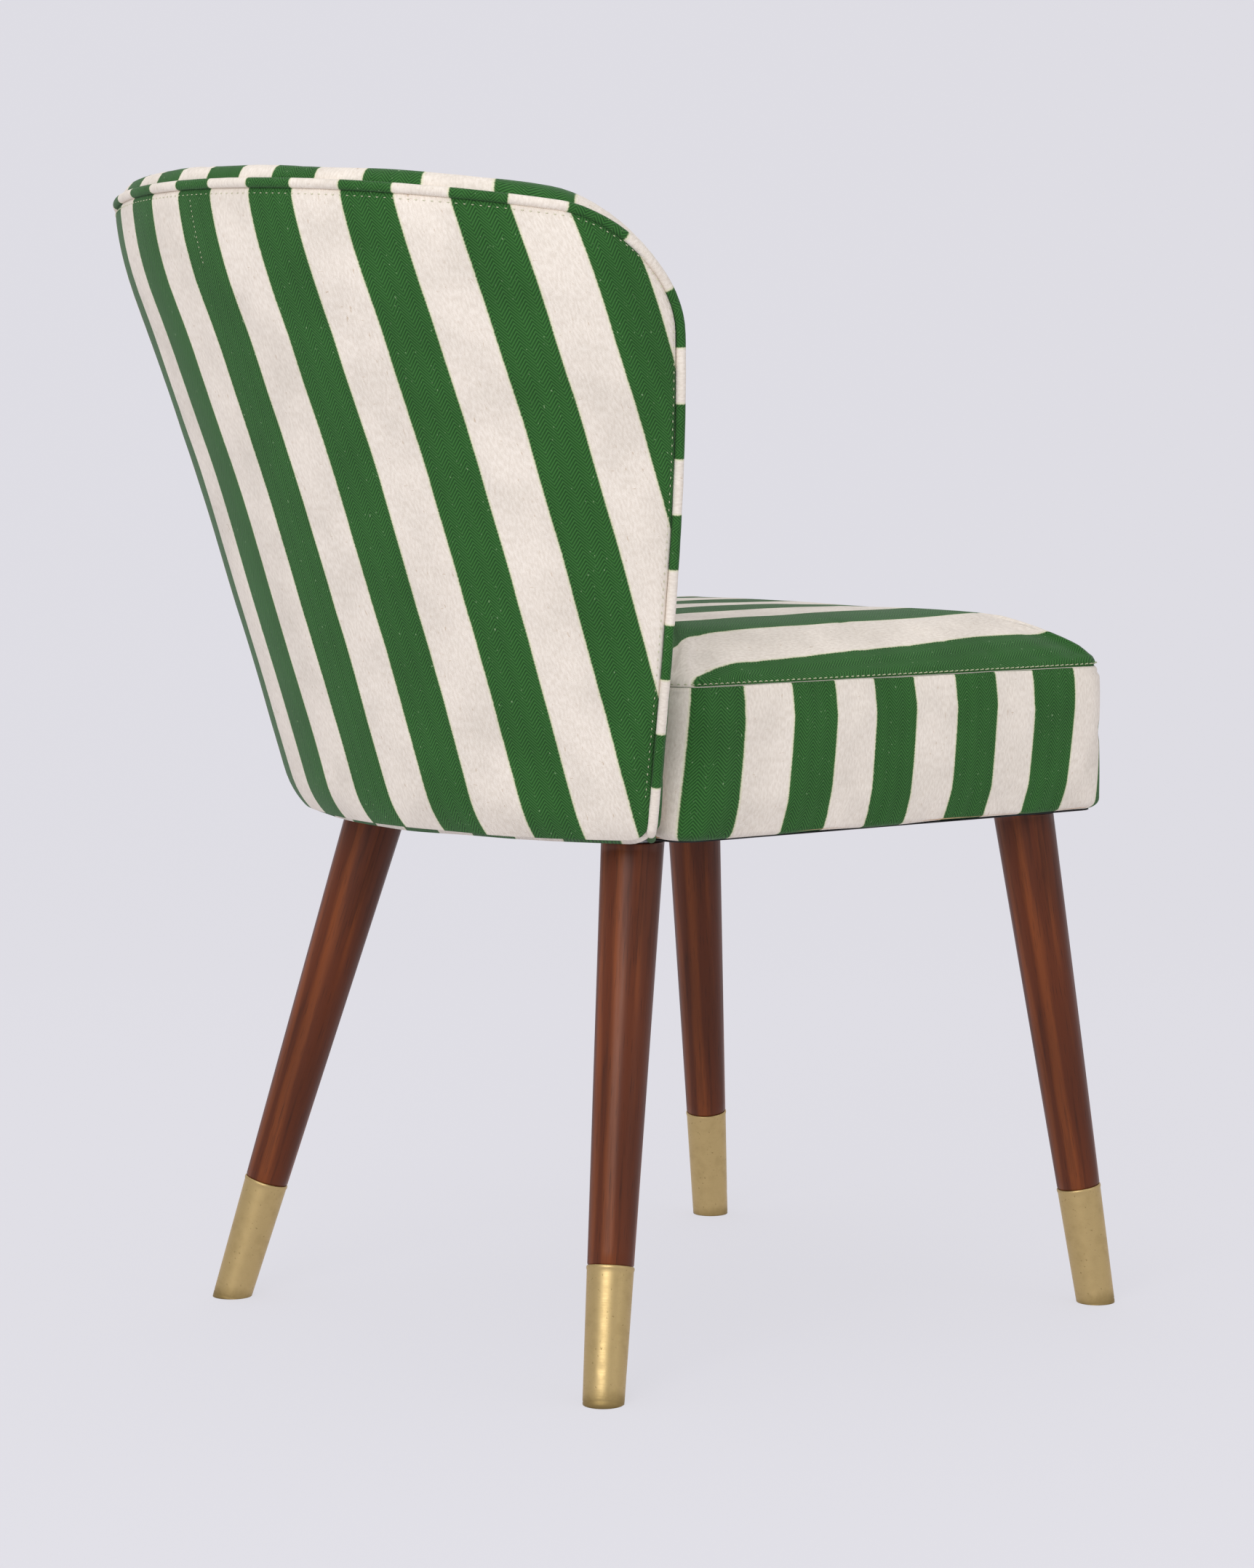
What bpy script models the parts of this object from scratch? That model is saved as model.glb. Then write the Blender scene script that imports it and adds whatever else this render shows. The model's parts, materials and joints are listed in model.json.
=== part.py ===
"""Dining chair with a wrap-around upholstered back, a boxed seat and four splayed legs in brass ferrules."""

import math

import bmesh
import bpy
import numpy as np
from mathutils import Vector

# ---- seat, metres; the front of the chair faces -Y and the floor is z = 0 ----
SEAT_FRONT_HALF = 0.222  # half the width across the front corners
SEAT_REAR_HALF = 0.1965  # half the width beside the back's wings
SEAT_FRONT_REACH = 0.2300  # from the middle of the footprint forward to the front face
SEAT_FRONT_BOW = 0.004
SEAT_CORNER_FRONT = 0.019
SEAT_CORNER_REAR = 0.022
SEAT_BOW_SHARE = 0.85  # part of the rear edge that bows back between the wings
SEAT_BOW_POWER = 2
SEAT_BOTTOM = 0.3625
SEAT_BOXING = 0.1030  # height of the side band, hem to seam
SEAT_CROWN = 0.042  # how far the middle of the top stands above the seam
SEAT_EDGE_ROLL = 0.060  # width of the rounding between seam and crown
CROWN_QUICKNESS = 0.42  # part of the edge roll in which most of the rise happens
CROWN_EDGE_SHARE = 0.80  # share of the crown's height that the edge roll gives
CROWN_REACH = 0.18  # the rest of the crown rises over this distance from the seam
SEAT_HEM = 0.009
# ---- curved back ----
BACK_HEIGHT = 0.4310  # piping at the top above the lower edge
BACK_REAR = 0.2540  # rearmost line of the outside back at its lower edge
BACK_LEAN = 0.333
BACK_CURL = 0.25
WING_OUTSET = 0.0395  # outside back beyond the seat's rear half width
BACK_HALF = SEAT_REAR_HALF + WING_OUTSET  # half-ellipse that the outside back follows in plan
BACK_HALF_FLARE = 0.038
BACK_DEPTH = 0.163
BACK_DEPTH_FLARE = 0.0595
BACK_FOOT_SHORT = 0.0205  # how far the lower edge's cloth stops short of that half width
BACK_FOOT_ARC = BACK_HALF - BACK_FOOT_SHORT  # half the cloth width along the lower edge
BACK_SIDE_FLARE = 1.0 / 3.0
BACK_ARCH = 0.228
BACK_CORNER_FOOT = 0.022
BACK_CORNER_TOP = 0.058
BACK_EDGE_DEPTH = 0.042  # padding thickness just inside the edge roll
BACK_FACE_DEPTH = 0.050
BACK_LUMBAR = 0.022
BACK_LUMBAR_RISE = 0.120
BACK_LUMBAR_SPAN = 0.080
BACK_LUMBAR_ARC = 0.200
BACK_ROLL_SIDE = 0.014  # how far the edge roll stands beyond the piping
BACK_ROLL_TOP = 0.0125
BACK_ROLL_RETURN = 0.012
BACK_TOP_TILT = math.radians(20.0)
BACK_TOP_TURN = 0.013  # how far the back's top edge turns in towards the sitter
BACK_TOP_TURN_HEIGHT = 0.076
BACK_TOP_TURN_POWER = 2.2
PIPING_RADIUS = 0.00325
PIPING_SINK = 0.0020
# ---- legs ----
FOOT_INSET = 0.0102  # feet inside the seat's front corners
FOOT_HALF = SEAT_FRONT_HALF - FOOT_INSET
FOOT_REACH = 0.2343
LEG_FOOT_RADIUS = 0.0136
LEG_TOP_RADIUS = 0.0214
REAR_SPLAY = (0.1919, 0.2336)
FRONT_SPLAY = (0.0870, 0.1335)
FERRULE_HEIGHT = 0.0836
FERRULE_WALL = 0.0008
FERRULE_PROUD = 0.0002
FERRULE_SOLE = 0.0070
# ---- frame timber, board, cloth and fastenings ----
RAIL_THICKNESS = 0.022
RAIL_HEIGHT = 0.060
BLOCK_HEIGHT = 0.045
BLOCK_REACH = 0.078
DECK_THICKNESS = 0.009
BACK_RAIL_DEPTH = 0.018
BACK_RAIL_WIDTH = 0.055
BACK_POST_WIDTH = 0.044
BACK_STAY_WIDTH = 0.040
BACK_STAY_ARC = 0.072
BACK_PANEL_THICKNESS = 0.003
CLOTH = 0.0012
DUST_CLOTH = 0.0007
DUST_INSET = 0.005
BOLT_RADIUS = 0.004
HANGER_LENGTH = 0.062
HANGER_IN_LEG = 0.034
PLATE_THICKNESS = 0.0016
PLATE_RADIUS = 0.0160
BACK_BOLT_ARCS = (0.032, 0.078)
BACK_BOLT_RISE = 0.032
BOLT_HEAD_RADIUS = 0.0085
BOLT_HEAD = 0.003
BOLT_SETBACK = 0.0065
BOLT_BITE = 0.016
# ---- clearances ----
FIT = 0.0003  # between any two touching pieces
PADDING_FIT = 0.0022  # between cloth and the foam under it
BEND_SAG = 0.0183  # how much bent pieces' flat facets sag, per square of the back's height
BEND_FIT = BEND_SAG * BACK_HEIGHT**2  # between bent pieces that are divided differently
SEAT_BACK_GAP = 0.0045
# ---- how finely curves are divided ----
CORNER_KEEP = 0.3  # an inset corner never gets tighter than this share of its radius
WING_ZONE = (0.90, 1.25)  # where the wings stand, as a share of the bow's half width
BACK_SWEEP = math.radians(115.0)  # how far round the back's plan curve is measured
BACK_SWEEP_STEPS = 115
BEYOND = 1.0  # past every piece
WELD = 0.00005  # points nearer than this are one
FACE_INSETS = (0.026, 0.044, 0.066, 0.092)
FACE_SHARES = (0.70, 0.40, 0.15)
SEAT_INSETS = (0.004, 0.010, 0.020, 0.034, 0.055, 0.085)
SEAT_SHARES = (0.66, 0.30)
BACK_COUNTS = (6, 2, 6, 5, 6)
SEAT_COUNTS = (3, 4, 4, 4, 8)
ROLL_STEPS = 5
LEG_STEPS = 24
BOLT_STEPS = 12
BORE_STEPS = 16

SEAM_HEIGHT = SEAT_BOTTOM + SEAT_BOXING
RAIL_BOTTOM = SEAT_BOTTOM + CLOTH + FIT
RAIL_TOP = RAIL_BOTTOM + RAIL_HEIGHT
DECK_BOTTOM = RAIL_TOP + FIT
DECK_TOP = DECK_BOTTOM + DECK_THICKNESS
DUST_BOTTOM = SEAT_BOTTOM - FIT - DUST_CLOTH
PLATE_TOP = DUST_BOTTOM - FIT
LEG_TOP = PLATE_TOP - PLATE_THICKNESS - FIT
FRAME_INSET = CLOTH + FIT
FOAM_INSET = CLOTH + PADDING_FIT
CAVITY_INSET = 0.014  # edge of the foam's pocket that the back frame sits in
FRAME_DEPTH = CLOTH + BEND_FIT
PANEL_DEPTH = FRAME_DEPTH + BACK_RAIL_DEPTH + BEND_FIT
FOAM_DEPTH = PANEL_DEPTH + BACK_PANEL_THICKNESS + BEND_FIT

# one plain colour for each finish, as linear red, green and blue
COLOURS = {
    "beech": (0.62, 0.45, 0.29),
    "plywood": (0.66, 0.50, 0.33),
    "foam": (0.86, 0.82, 0.70),
    "striped_cloth": (0.38, 0.47, 0.33),
    "piping_cloth": (0.42, 0.50, 0.36),
    "dust_cloth": (0.03, 0.03, 0.03),
    "stained_wood": (0.19, 0.07, 0.035),
    "brass": (0.55, 0.44, 0.24),
    "zinc_steel": (0.55, 0.56, 0.58),
}


def clear_scene():
    for item in list(bpy.data.objects):
        bpy.data.objects.remove(item, do_unlink=True)
    for group in list(bpy.data.collections):
        bpy.data.collections.remove(group)


def collection(name):
    group = bpy.data.collections.new(name)
    bpy.context.scene.collection.children.link(group)
    return group


def finish(item, colour, group):
    """Gives one sub-part a material of its own and its place in the outliner."""
    material = bpy.data.materials.new(item.name + "_" + colour)
    material.use_nodes = True
    shader = material.node_tree.nodes["Principled BSDF"]
    shader.inputs["Base Color"].default_value = (*COLOURS[colour], 1.0)
    shader.inputs["Metallic"].default_value = 1.0 if colour in ("brass", "zinc_steel") else 0.0
    item.data.materials.append(material)
    group.objects.link(item)
    return item


def mesh_object(name, points, faces):
    mesh = bpy.data.meshes.new(name)
    mesh.from_pydata([tuple(p) for p in points], [], faces)
    mesh.update()
    return bpy.data.objects.new(name, mesh)


def face_out(item):
    work = bmesh.new()
    work.from_mesh(item.data)
    bmesh.ops.recalc_face_normals(work, faces=work.faces)
    work.to_mesh(item.data)
    work.free()
    return item


# ---- plan outlines: a right half with two rounded corners, mirrored to a closed ring ----


def fillet(before, corner, after, radius, count):
    """Points of the arc that rounds one corner."""
    into = (before - corner) / np.linalg.norm(before - corner)
    out = (after - corner) / np.linalg.norm(after - corner)
    half = math.acos(float(np.clip(into @ out, -1.0, 1.0))) / 2
    middle = corner + (into + out) / np.linalg.norm(into + out) * radius / math.sin(half)
    first = corner + into * radius / math.tan(half) - middle
    last = corner + out * radius / math.tan(half) - middle
    turn = math.atan2(first[0] * last[1] - first[1] * last[0], float(first @ last))
    angles = np.linspace(0.0, turn, count + 1)
    return [middle + np.array(rotate(first, a)) for a in angles]


def rotate(vector, angle):
    c, s = math.cos(angle), math.sin(angle)
    return (c * vector[0] - s * vector[1], s * vector[0] + c * vector[1])


def rounded_ring(start, lower, upper, end, radii, counts):
    """A closed ring from the right half start, lower corner, upper corner, end."""
    first = fillet(start, lower, upper, radii[0], counts[1])
    second = fillet(lower, upper, end, radii[1], counts[3])
    half = [start + (first[0] - start) * i / counts[0] for i in range(counts[0])]
    half += first
    half += [first[-1] + (second[0] - first[-1]) * i / counts[2] for i in range(1, counts[2])]
    half += second
    half += [second[-1] + (end - second[-1]) * i / counts[4] for i in range(1, counts[4] + 1)]
    mirrored = [p * (-1, 1) for p in half[-2:0:-1]]
    return np.array(half + mirrored)


def shield(inset):
    """Edge of the back panel moved in by inset, as (arc, height) pairs along the cloth."""
    slant = inset * math.hypot(1.0, BACK_SIDE_FLARE)
    low, high = inset, BACK_HEIGHT - inset
    foot = np.array((BACK_FOOT_ARC + low * BACK_SIDE_FLARE - slant, low))
    head = np.array((BACK_FOOT_ARC + high * BACK_SIDE_FLARE - slant, high))
    radii = [max(r - inset, CORNER_KEEP * r) for r in (BACK_CORNER_FOOT, BACK_CORNER_TOP)]
    start, end = np.array((0.0, low)), np.array((0.0, high))
    ring = rounded_ring(start, foot, head, end, radii, BACK_COUNTS)
    ring[:, 1] -= BACK_ARCH * ring[:, 0] ** 2 * ring[:, 1] / BACK_HEIGHT
    return ring


def face_edges(first):
    """Edges that step in from one inset and then shrink to the middle, with the inset each stands for."""
    for inset in (first, *[i for i in FACE_INSETS if i > first]):
        yield shield(inset), inset
    middle = np.array((0.0, BACK_HEIGHT / 2))
    for share in FACE_SHARES:
        yield middle + (shield(FACE_INSETS[-1]) - middle) * share, FACE_INSETS[-1]


def shield_normals():
    """Outward direction at each point of the back panel's edge."""
    ring = shield(0.0)
    along = np.roll(ring, -1, axis=0) - np.roll(ring, 1, axis=0)
    normals = np.stack([along[:, 1], -along[:, 0]], axis=1)
    return normals / np.linalg.norm(normals, axis=1)[:, None]


# ---- the curved back: (arc, height, depth) to a point ----


def section(rise):
    """Half-width, depth and rearmost line of the outside back at a height above its lower edge."""
    half = BACK_HALF + BACK_HALF_FLARE * rise
    depth = BACK_DEPTH + BACK_DEPTH_FLARE * rise
    rear = BACK_REAR + BACK_LEAN * rise + BACK_CURL * rise**3
    return half, depth, rear


def top_turn(rise):
    """How far the back is turned in towards the sitter near its top edge."""
    share = (rise - BACK_HEIGHT + BACK_TOP_TURN_HEIGHT) / BACK_TOP_TURN_HEIGHT
    return BACK_TOP_TURN * max(share, 0.0) ** BACK_TOP_TURN_POWER


def back_point(arc, rise, inward):
    """Point at a cloth distance from the middle, a rise, and a distance inward from the outside back."""
    half, depth, rear = section(rise)
    turn = np.linspace(0.0, BACK_SWEEP, BACK_SWEEP_STEPS + 1)
    steps = np.hypot(np.diff(half * np.sin(turn)), np.diff(depth * np.cos(turn)))
    angle = float(np.interp(abs(arc), np.concatenate([[0.0], np.cumsum(steps)]), turn))
    side = math.copysign(1.0, arc)
    across = np.array((side * depth * math.sin(angle), half * math.cos(angle)))
    across /= np.linalg.norm(across)
    tilt = BACK_TOP_TILT * min(max(rise / BACK_HEIGHT, 0.0), 1.0)
    level = inward * math.cos(tilt) + top_turn(rise)
    x = side * half * math.sin(angle) - across[0] * level
    y = rear - depth * (1.0 - math.cos(angle)) - across[1] * level
    return np.array((x, y, SEAT_BOTTOM + rise + inward * math.sin(tilt)))


def back_ring(ring, inward):
    depths = np.broadcast_to(inward, len(ring))
    return [back_point(a, r, d) for (a, r), d in zip(ring, depths)]


def padding_depth(ring, inset):
    """Distance from outside back to the sitter's side: lumbar swell in the middle, thin at the edge."""
    rise = ring[:, 1]
    swell = BACK_LUMBAR * np.exp(-(((rise - BACK_LUMBAR_RISE) / BACK_LUMBAR_SPAN) ** 2))
    swell *= np.clip(1.0 - (ring[:, 0] / BACK_LUMBAR_ARC) ** 2, 0.0, 1.0)
    middle = min(max((inset - BACK_ROLL_RETURN) / SEAT_EDGE_ROLL, 0.0), 1.0)
    ease = middle * middle * (3.0 - 2.0 * middle)
    return BACK_EDGE_DEPTH + (BACK_FACE_DEPTH - BACK_EDGE_DEPTH + swell) * ease


def edge_roll(turn, start, under):
    """One ring round the padded edge, under its surface: turn runs 0 at the piping to pi on the sitter's side."""
    normals = shield_normals()
    upward = np.clip(normals[:, 1], 0.0, 1.0)
    downward = np.clip(-normals[:, 1], 0.0, 1.0)
    reach = BACK_ROLL_SIDE + (BACK_ROLL_TOP - BACK_ROLL_SIDE) * upward - BACK_ROLL_SIDE * downward
    back_in = BACK_ROLL_RETURN * (1.0 - math.cos(turn)) / 2
    depth = start + (BACK_EDGE_DEPTH - start) * (1.0 - math.cos(turn)) / 2
    early = max(turn, math.radians(0.6))
    slope_in = BACK_ROLL_RETURN * math.sin(early) / 2 - reach * math.cos(early)
    slope_deep = (BACK_EDGE_DEPTH - start) * math.sin(early) / 2
    length = np.hypot(slope_in, slope_deep)
    outward = reach * math.sin(turn) - under * slope_deep / length
    depth = depth - under * slope_in / length
    return back_ring(shield(back_in) + normals * outward[:, None], depth)


def front_rings(start, under):
    """Rings of the sitter's side, from the piping round the roll to the middle of the back."""
    rings = [edge_roll(math.pi * i / ROLL_STEPS, start, under) for i in range(ROLL_STEPS)]
    for ring, inset in face_edges(BACK_ROLL_RETURN):
        rings.append(back_ring(ring, padding_depth(ring, inset) - under))
    return rings


def back_middle(depth):
    return back_point(0.0, BACK_HEIGHT / 2, depth)


def front_middle(under):
    middle = np.array(((0.0, BACK_HEIGHT / 2),))
    return back_middle(float(padding_depth(middle, FACE_INSETS[-1])[0]) - under)



def loft(name, rings, first_hub, last_hub, colour, group):
    """Joins rings of equal length; an end with a hub point is closed by a fan to it."""
    points = [p for ring in rings for p in ring]
    n = len(rings[0])
    faces = []
    for k in range(len(rings) - 1):
        for i in range(n):
            j = (i + 1) % n
            a, b, c, d = k * n + i, k * n + j, (k + 1) * n + j, (k + 1) * n + i
            faces += [(a, b, c), (a, c, d)] if i < n // 2 else [(a, b, d), (b, c, d)]
    for hub, base in ((first_hub, 0), (last_hub, (len(rings) - 1) * n)):
        if hub is not None:
            faces += [(len(points), base + (i + 1) % n, base + i) for i in range(n)]
            points.append(hub)
    return face_out(finish(mesh_object(name, points, faces), colour, group))


def solidify(item, thickness, outward, even=True):
    """Gives an open skin its thickness, inward from the face that points away from a point inside."""
    normal_sum = 0.0
    for face in item.data.polygons:
        normal_sum += face.normal.dot(face.center - Vector(outward)) * face.area
    shell = item.modifiers.new("thickness", "SOLIDIFY")
    shell.thickness = thickness
    shell.offset = -1.0 if normal_sum > 0 else 1.0
    shell.use_even_offset = even
    return item


def box(name, low, high, group):
    """A plain block between two corners."""
    size = [b - a for a, b in zip(low, high)]
    corners = [(x, y, z) for x in (0, 1) for y in (0, 1) for z in (0, 1)]
    points = [[a + s * c for a, s, c in zip(low, size, corner)] for corner in corners]
    faces = [(0, 1, 3, 2), (4, 6, 7, 5), (0, 4, 5, 1), (2, 3, 7, 6), (0, 2, 6, 4), (1, 5, 7, 3)]
    item = face_out(mesh_object(name, points, faces))
    group.objects.link(item)
    return item


def revolve(name, profile, steps, colour, group):
    """A turned piece: profile is (radius, height) pairs, outer side running top to bottom."""
    points = [(r, 0.0, z) for r, z in profile]
    mesh = bpy.data.meshes.new(name)
    mesh.from_pydata(points, [(i, i + 1) for i in range(len(points) - 1)], [])
    item = bpy.data.objects.new(name, mesh)
    turned = item.modifiers.new("turned", "SCREW")
    turned.steps = steps
    turned.render_steps = steps
    turned.use_merge_vertices = True
    turned.merge_threshold = WELD
    if colour:
        return finish(item, colour, group)
    group.objects.link(item)
    return item


def cut(item, cutter, operation="DIFFERENCE"):
    step = item.modifiers.new("cut", "BOOLEAN")
    step.operation = operation
    step.solver = "EXACT"
    step.object = cutter
    return item


def prism(name, ring, low, high, colour, group, holes=()):
    """A flat board from a plan outline, with optional outlined holes."""
    curve = bpy.data.curves.new(name, "CURVE")
    curve.dimensions = "2D"
    curve.fill_mode = "BOTH"
    curve.extrude = (high - low) / 2
    for loop in (ring, *holes):
        spline = curve.splines.new("POLY")
        spline.points.add(len(loop) - 1)
        spline.use_cyclic_u = True
        for point, (x, y) in zip(spline.points, loop):
            point.co = (x, y, 0.0, 1.0)
    draft = bpy.data.objects.new(name + "_draft", curve)
    bpy.context.scene.collection.objects.link(draft)
    mesh = bpy.data.meshes.new_from_object(draft.evaluated_get(bpy.context.evaluated_depsgraph_get()))
    bpy.data.objects.remove(draft, do_unlink=True)
    bpy.data.curves.remove(curve)
    item = bpy.data.objects.new(name, mesh)
    work = bmesh.new()
    work.from_mesh(mesh)
    bmesh.ops.remove_doubles(work, verts=work.verts, dist=WELD / 50)
    bmesh.ops.translate(work, verts=work.verts, vec=(0.0, 0.0, (low + high) / 2))
    bmesh.ops.recalc_face_normals(work, faces=work.faces)
    work.to_mesh(mesh)
    work.free()
    mesh.name = name
    if colour:
        return finish(item, colour, group)
    group.objects.link(item)
    return item


def circle(x, y, radius, count):
    angles = [2 * math.pi * i / count for i in range(count)]
    return [(x + radius * math.cos(a), y + radius * math.sin(a)) for a in angles]


# ---- seat ----


def seat_rear_edge():
    """Rear corner line and bow that keep the seat just clear of the back's inner face at every height."""
    rings = np.array(front_rings(PIPING_SINK + PIPING_RADIUS + FIT, 0.0))
    rings = np.concatenate([rings, (rings[1:] + rings[:-1]) / 2])
    points = np.concatenate([rings, (rings + np.roll(rings, -1, axis=1)) / 2]).reshape(-1, 3)
    near = points[points[:, 2] < SEAT_BOTTOM + SEAT_BOXING + SEAT_CROWN + SEAT_EDGE_ROLL]
    across = np.abs(near[:, 0]) / (SEAT_REAR_HALF * SEAT_BOW_SHARE)
    beside = near[(across > WING_ZONE[0]) & (across < WING_ZONE[1])]
    corner = float(beside[:, 1].min()) - SEAT_BACK_GAP
    middle = across < WING_ZONE[0]
    room = (near[middle][:, 1] - SEAT_BACK_GAP - corner) / (1.0 - across[middle] ** SEAT_BOW_POWER)
    return corner, max(float(room.min()), 0.0)


def seat_outline(inset, corner, bow):
    """Plan of the seat moved in by inset, as (x, y) pairs."""
    length = SEAT_FRONT_REACH + corner
    taper = (SEAT_REAR_HALF - SEAT_FRONT_HALF) / length
    slant = inset * math.hypot(1.0, taper)
    front, back = -SEAT_FRONT_REACH + inset, corner - inset
    low = np.array((SEAT_FRONT_HALF + taper * inset - slant, front))
    high = np.array((SEAT_REAR_HALF - taper * inset - slant, back))
    radii = [max(r - inset, CORNER_KEEP * r) for r in (SEAT_CORNER_FRONT, SEAT_CORNER_REAR)]
    start, end = np.array((0.0, front)), np.array((0.0, back))
    ring = rounded_ring(start, low, high, end, radii, SEAT_COUNTS)
    share = (ring[:, 1] + SEAT_FRONT_REACH) / length
    across = np.abs(ring[:, 0]) / (SEAT_REAR_HALF * SEAT_BOW_SHARE)
    rear_bow = bow * np.maximum(1.0 - across**SEAT_BOW_POWER, 0.0)
    front_bow = SEAT_FRONT_BOW * (1.0 - (ring[:, 0] / SEAT_FRONT_HALF) ** 2)
    ring[:, 1] += share * rear_bow - (1.0 - share) * front_bow
    return ring


def crown(inset):
    """Height of the seat's top above the seam at a distance in from it."""
    near = 1.0 - math.exp(-inset / (CROWN_QUICKNESS * SEAT_EDGE_ROLL))
    far = math.sin(min(inset / CROWN_REACH, 1.0) * math.pi / 2)
    return SEAT_CROWN * (CROWN_EDGE_SHARE * near + (1.0 - CROWN_EDGE_SHARE) * far)


def at_height(ring, z):
    return [(x, y, z) for x, y in ring]


def build_seat(parts, cutters, bores):
    corner, bow = seat_rear_edge()

    def outline(inset):
        return seat_outline(inset, corner, bow)

    def top_edges(first):
        for inset in (first, *[first + i for i in SEAT_INSETS]):
            yield outline(inset), inset
        last = outline(first + SEAT_INSETS[-1])
        middle = last.mean(axis=0)
        for share in SEAT_SHARES:
            inset = first + SEAT_INSETS[-1] + (1.0 - share) * SEAT_REAR_HALF / 2
            yield middle + (last - middle) * share, inset

    def dome(first, base):
        rings = [at_height(ring, base + crown(inset - first)) for ring, inset in top_edges(first)]
        return rings, (0.0, np.mean([p[1] for p in rings[-1]]), base + crown(SEAT_REAR_HALF))

    hem = [at_height(outline(SEAT_HEM), SEAT_BOTTOM), at_height(outline(0.0), SEAT_BOTTOM)]
    hem.append(at_height(outline(0.0), SEAM_HEIGHT - FIT / 2))
    border = loft("seat_border", hem, None, None, "striped_cloth", parts)
    solidify(border, CLOTH, (0.0, 0.0, (SEAT_BOTTOM + SEAM_HEIGHT) / 2))
    cut(border, bores)

    skin, peak = dome(0.0, SEAM_HEIGHT + FIT / 2 + CLOTH)
    top = loft("seat_top_cover", skin, None, peak, "striped_cloth", parts)
    solidify(top, CLOTH, (0.0, 0.0, SEAT_BOTTOM))

    swell, peak = dome(FOAM_INSET, SEAM_HEIGHT - PADDING_FIT)
    low = outline(FOAM_INSET)
    pad = [at_height(low, DECK_TOP + FIT)] + swell
    loft("seat_foam", pad, (0.0, 0.0, DECK_TOP + FIT), peak, "foam", parts)

    prism("seat_deck", outline(FRAME_INSET), DECK_BOTTOM, DECK_TOP, "plywood", parts)
    holes = [circle(x, y, BOLT_RADIUS + FIT, BORE_STEPS) for x, y in leg_tops().values()]
    prism("dust_cover", outline(DUST_INSET), DUST_BOTTOM, SEAT_BOTTOM - FIT, "dust_cloth", parts, holes)
    build_rails(outline, parts, cutters, bores)


def build_rails(outline, parts, cutters, bores):
    """Two side rails run full length; the front and rear rails and four corner blocks fit between them."""
    inner = FRAME_INSET + RAIL_THICKNESS
    side = SEAT_REAR_HALF - inner
    low, high = RAIL_BOTTOM - RAIL_HEIGHT, RAIL_TOP + RAIL_HEIGHT
    areas = {
        "seat_left_rail": ((-BEYOND, -BEYOND), (-side, BEYOND)),
        "seat_right_rail": ((side, -BEYOND), (BEYOND, BEYOND)),
        "seat_front_rail": ((-side + FIT, -BEYOND), (side - FIT, 0.0)),
        "seat_rear_rail": ((-side + FIT, 0.0), (side - FIT, BEYOND)),
    }
    rails = {}
    for name, (near, far) in areas.items():
        area = box("area_" + name, (*near, low), (*far, high), cutters)
        ring = outline(FRAME_INSET)
        rail = prism(name, ring, RAIL_BOTTOM, RAIL_TOP, "beech", parts, [outline(inner)])
        cut(rail, area, "INTERSECT")
        rails[name] = rail
    cut(rails["seat_rear_rail"], bores)
    for name, (x, y) in leg_tops().items():
        ring = outline(inner + FIT)
        block_top = RAIL_BOTTOM + BLOCK_HEIGHT
        block = prism("corner_block_" + name, ring, RAIL_BOTTOM, block_top, "beech", parts)
        area = corner_area(name, x, y, ring, low, high, cutters)
        cut(block, area, "INTERSECT")
        bore = revolve("bore_block_" + name, rod(BOLT_RADIUS + FIT, low, high), BORE_STEPS, None, cutters)
        bore.location = (x, y, 0.0)
        cut(block, bore)
        cut(rails["seat_rear_rail" if y > 0.0 else "seat_front_rail"], bore)


def corner_area(name, x, y, ring, low, high, cutters):
    """A square turned by 45 degrees that takes one corner of the frame's inside."""
    side = math.copysign(1.0, x)
    end = math.copysign(1.0, y)
    score = ring[:, 0] * side + ring[:, 1] * end
    corner = ring[int(np.argmax(score))]
    centre = corner + np.array((side, end)) * BLOCK_REACH
    size = BLOCK_REACH * math.sqrt(2.0) + BLOCK_REACH / math.sqrt(2.0)
    diamond = circle(centre[0], centre[1], size * math.sqrt(2.0), 4)
    square = [tuple(centre + np.array(rotate(np.array(p) - centre, math.pi / 4))) for p in diamond]
    turned = [tuple(centre + np.array(rotate(np.array(p) - centre, math.pi / 4))) for p in square]
    return prism("area_block_" + name, turned, low, high, None, cutters)


# ---- legs ----


def leg_places():
    """Foot centre on the floor and lean per metre of height for each leg."""
    places = {}
    for end, y, splay in (("front", -FOOT_REACH, FRONT_SPLAY), ("rear", FOOT_REACH, REAR_SPLAY)):
        for hand, side in (("left", -1.0), ("right", 1.0)):
            lean = Vector((-side * splay[0], -math.copysign(splay[1], y), 1.0))
            places[end + "_" + hand] = (Vector((side * FOOT_HALF, y, 0.0)), lean)
    return places


def leg_tops():
    return {name: tuple((foot + lean * LEG_TOP)[:2]) for name, (foot, lean) in leg_places().items()}


def rod(radius, low, high):
    return [(0.0, high), (radius, high), (radius, low), (0.0, low)]


def stand(item, foot, lean):
    item.rotation_mode = "QUATERNION"
    item.rotation_quaternion = Vector((0.0, 0.0, 1.0)).rotation_difference(lean)
    item.location = foot
    return item


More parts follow.
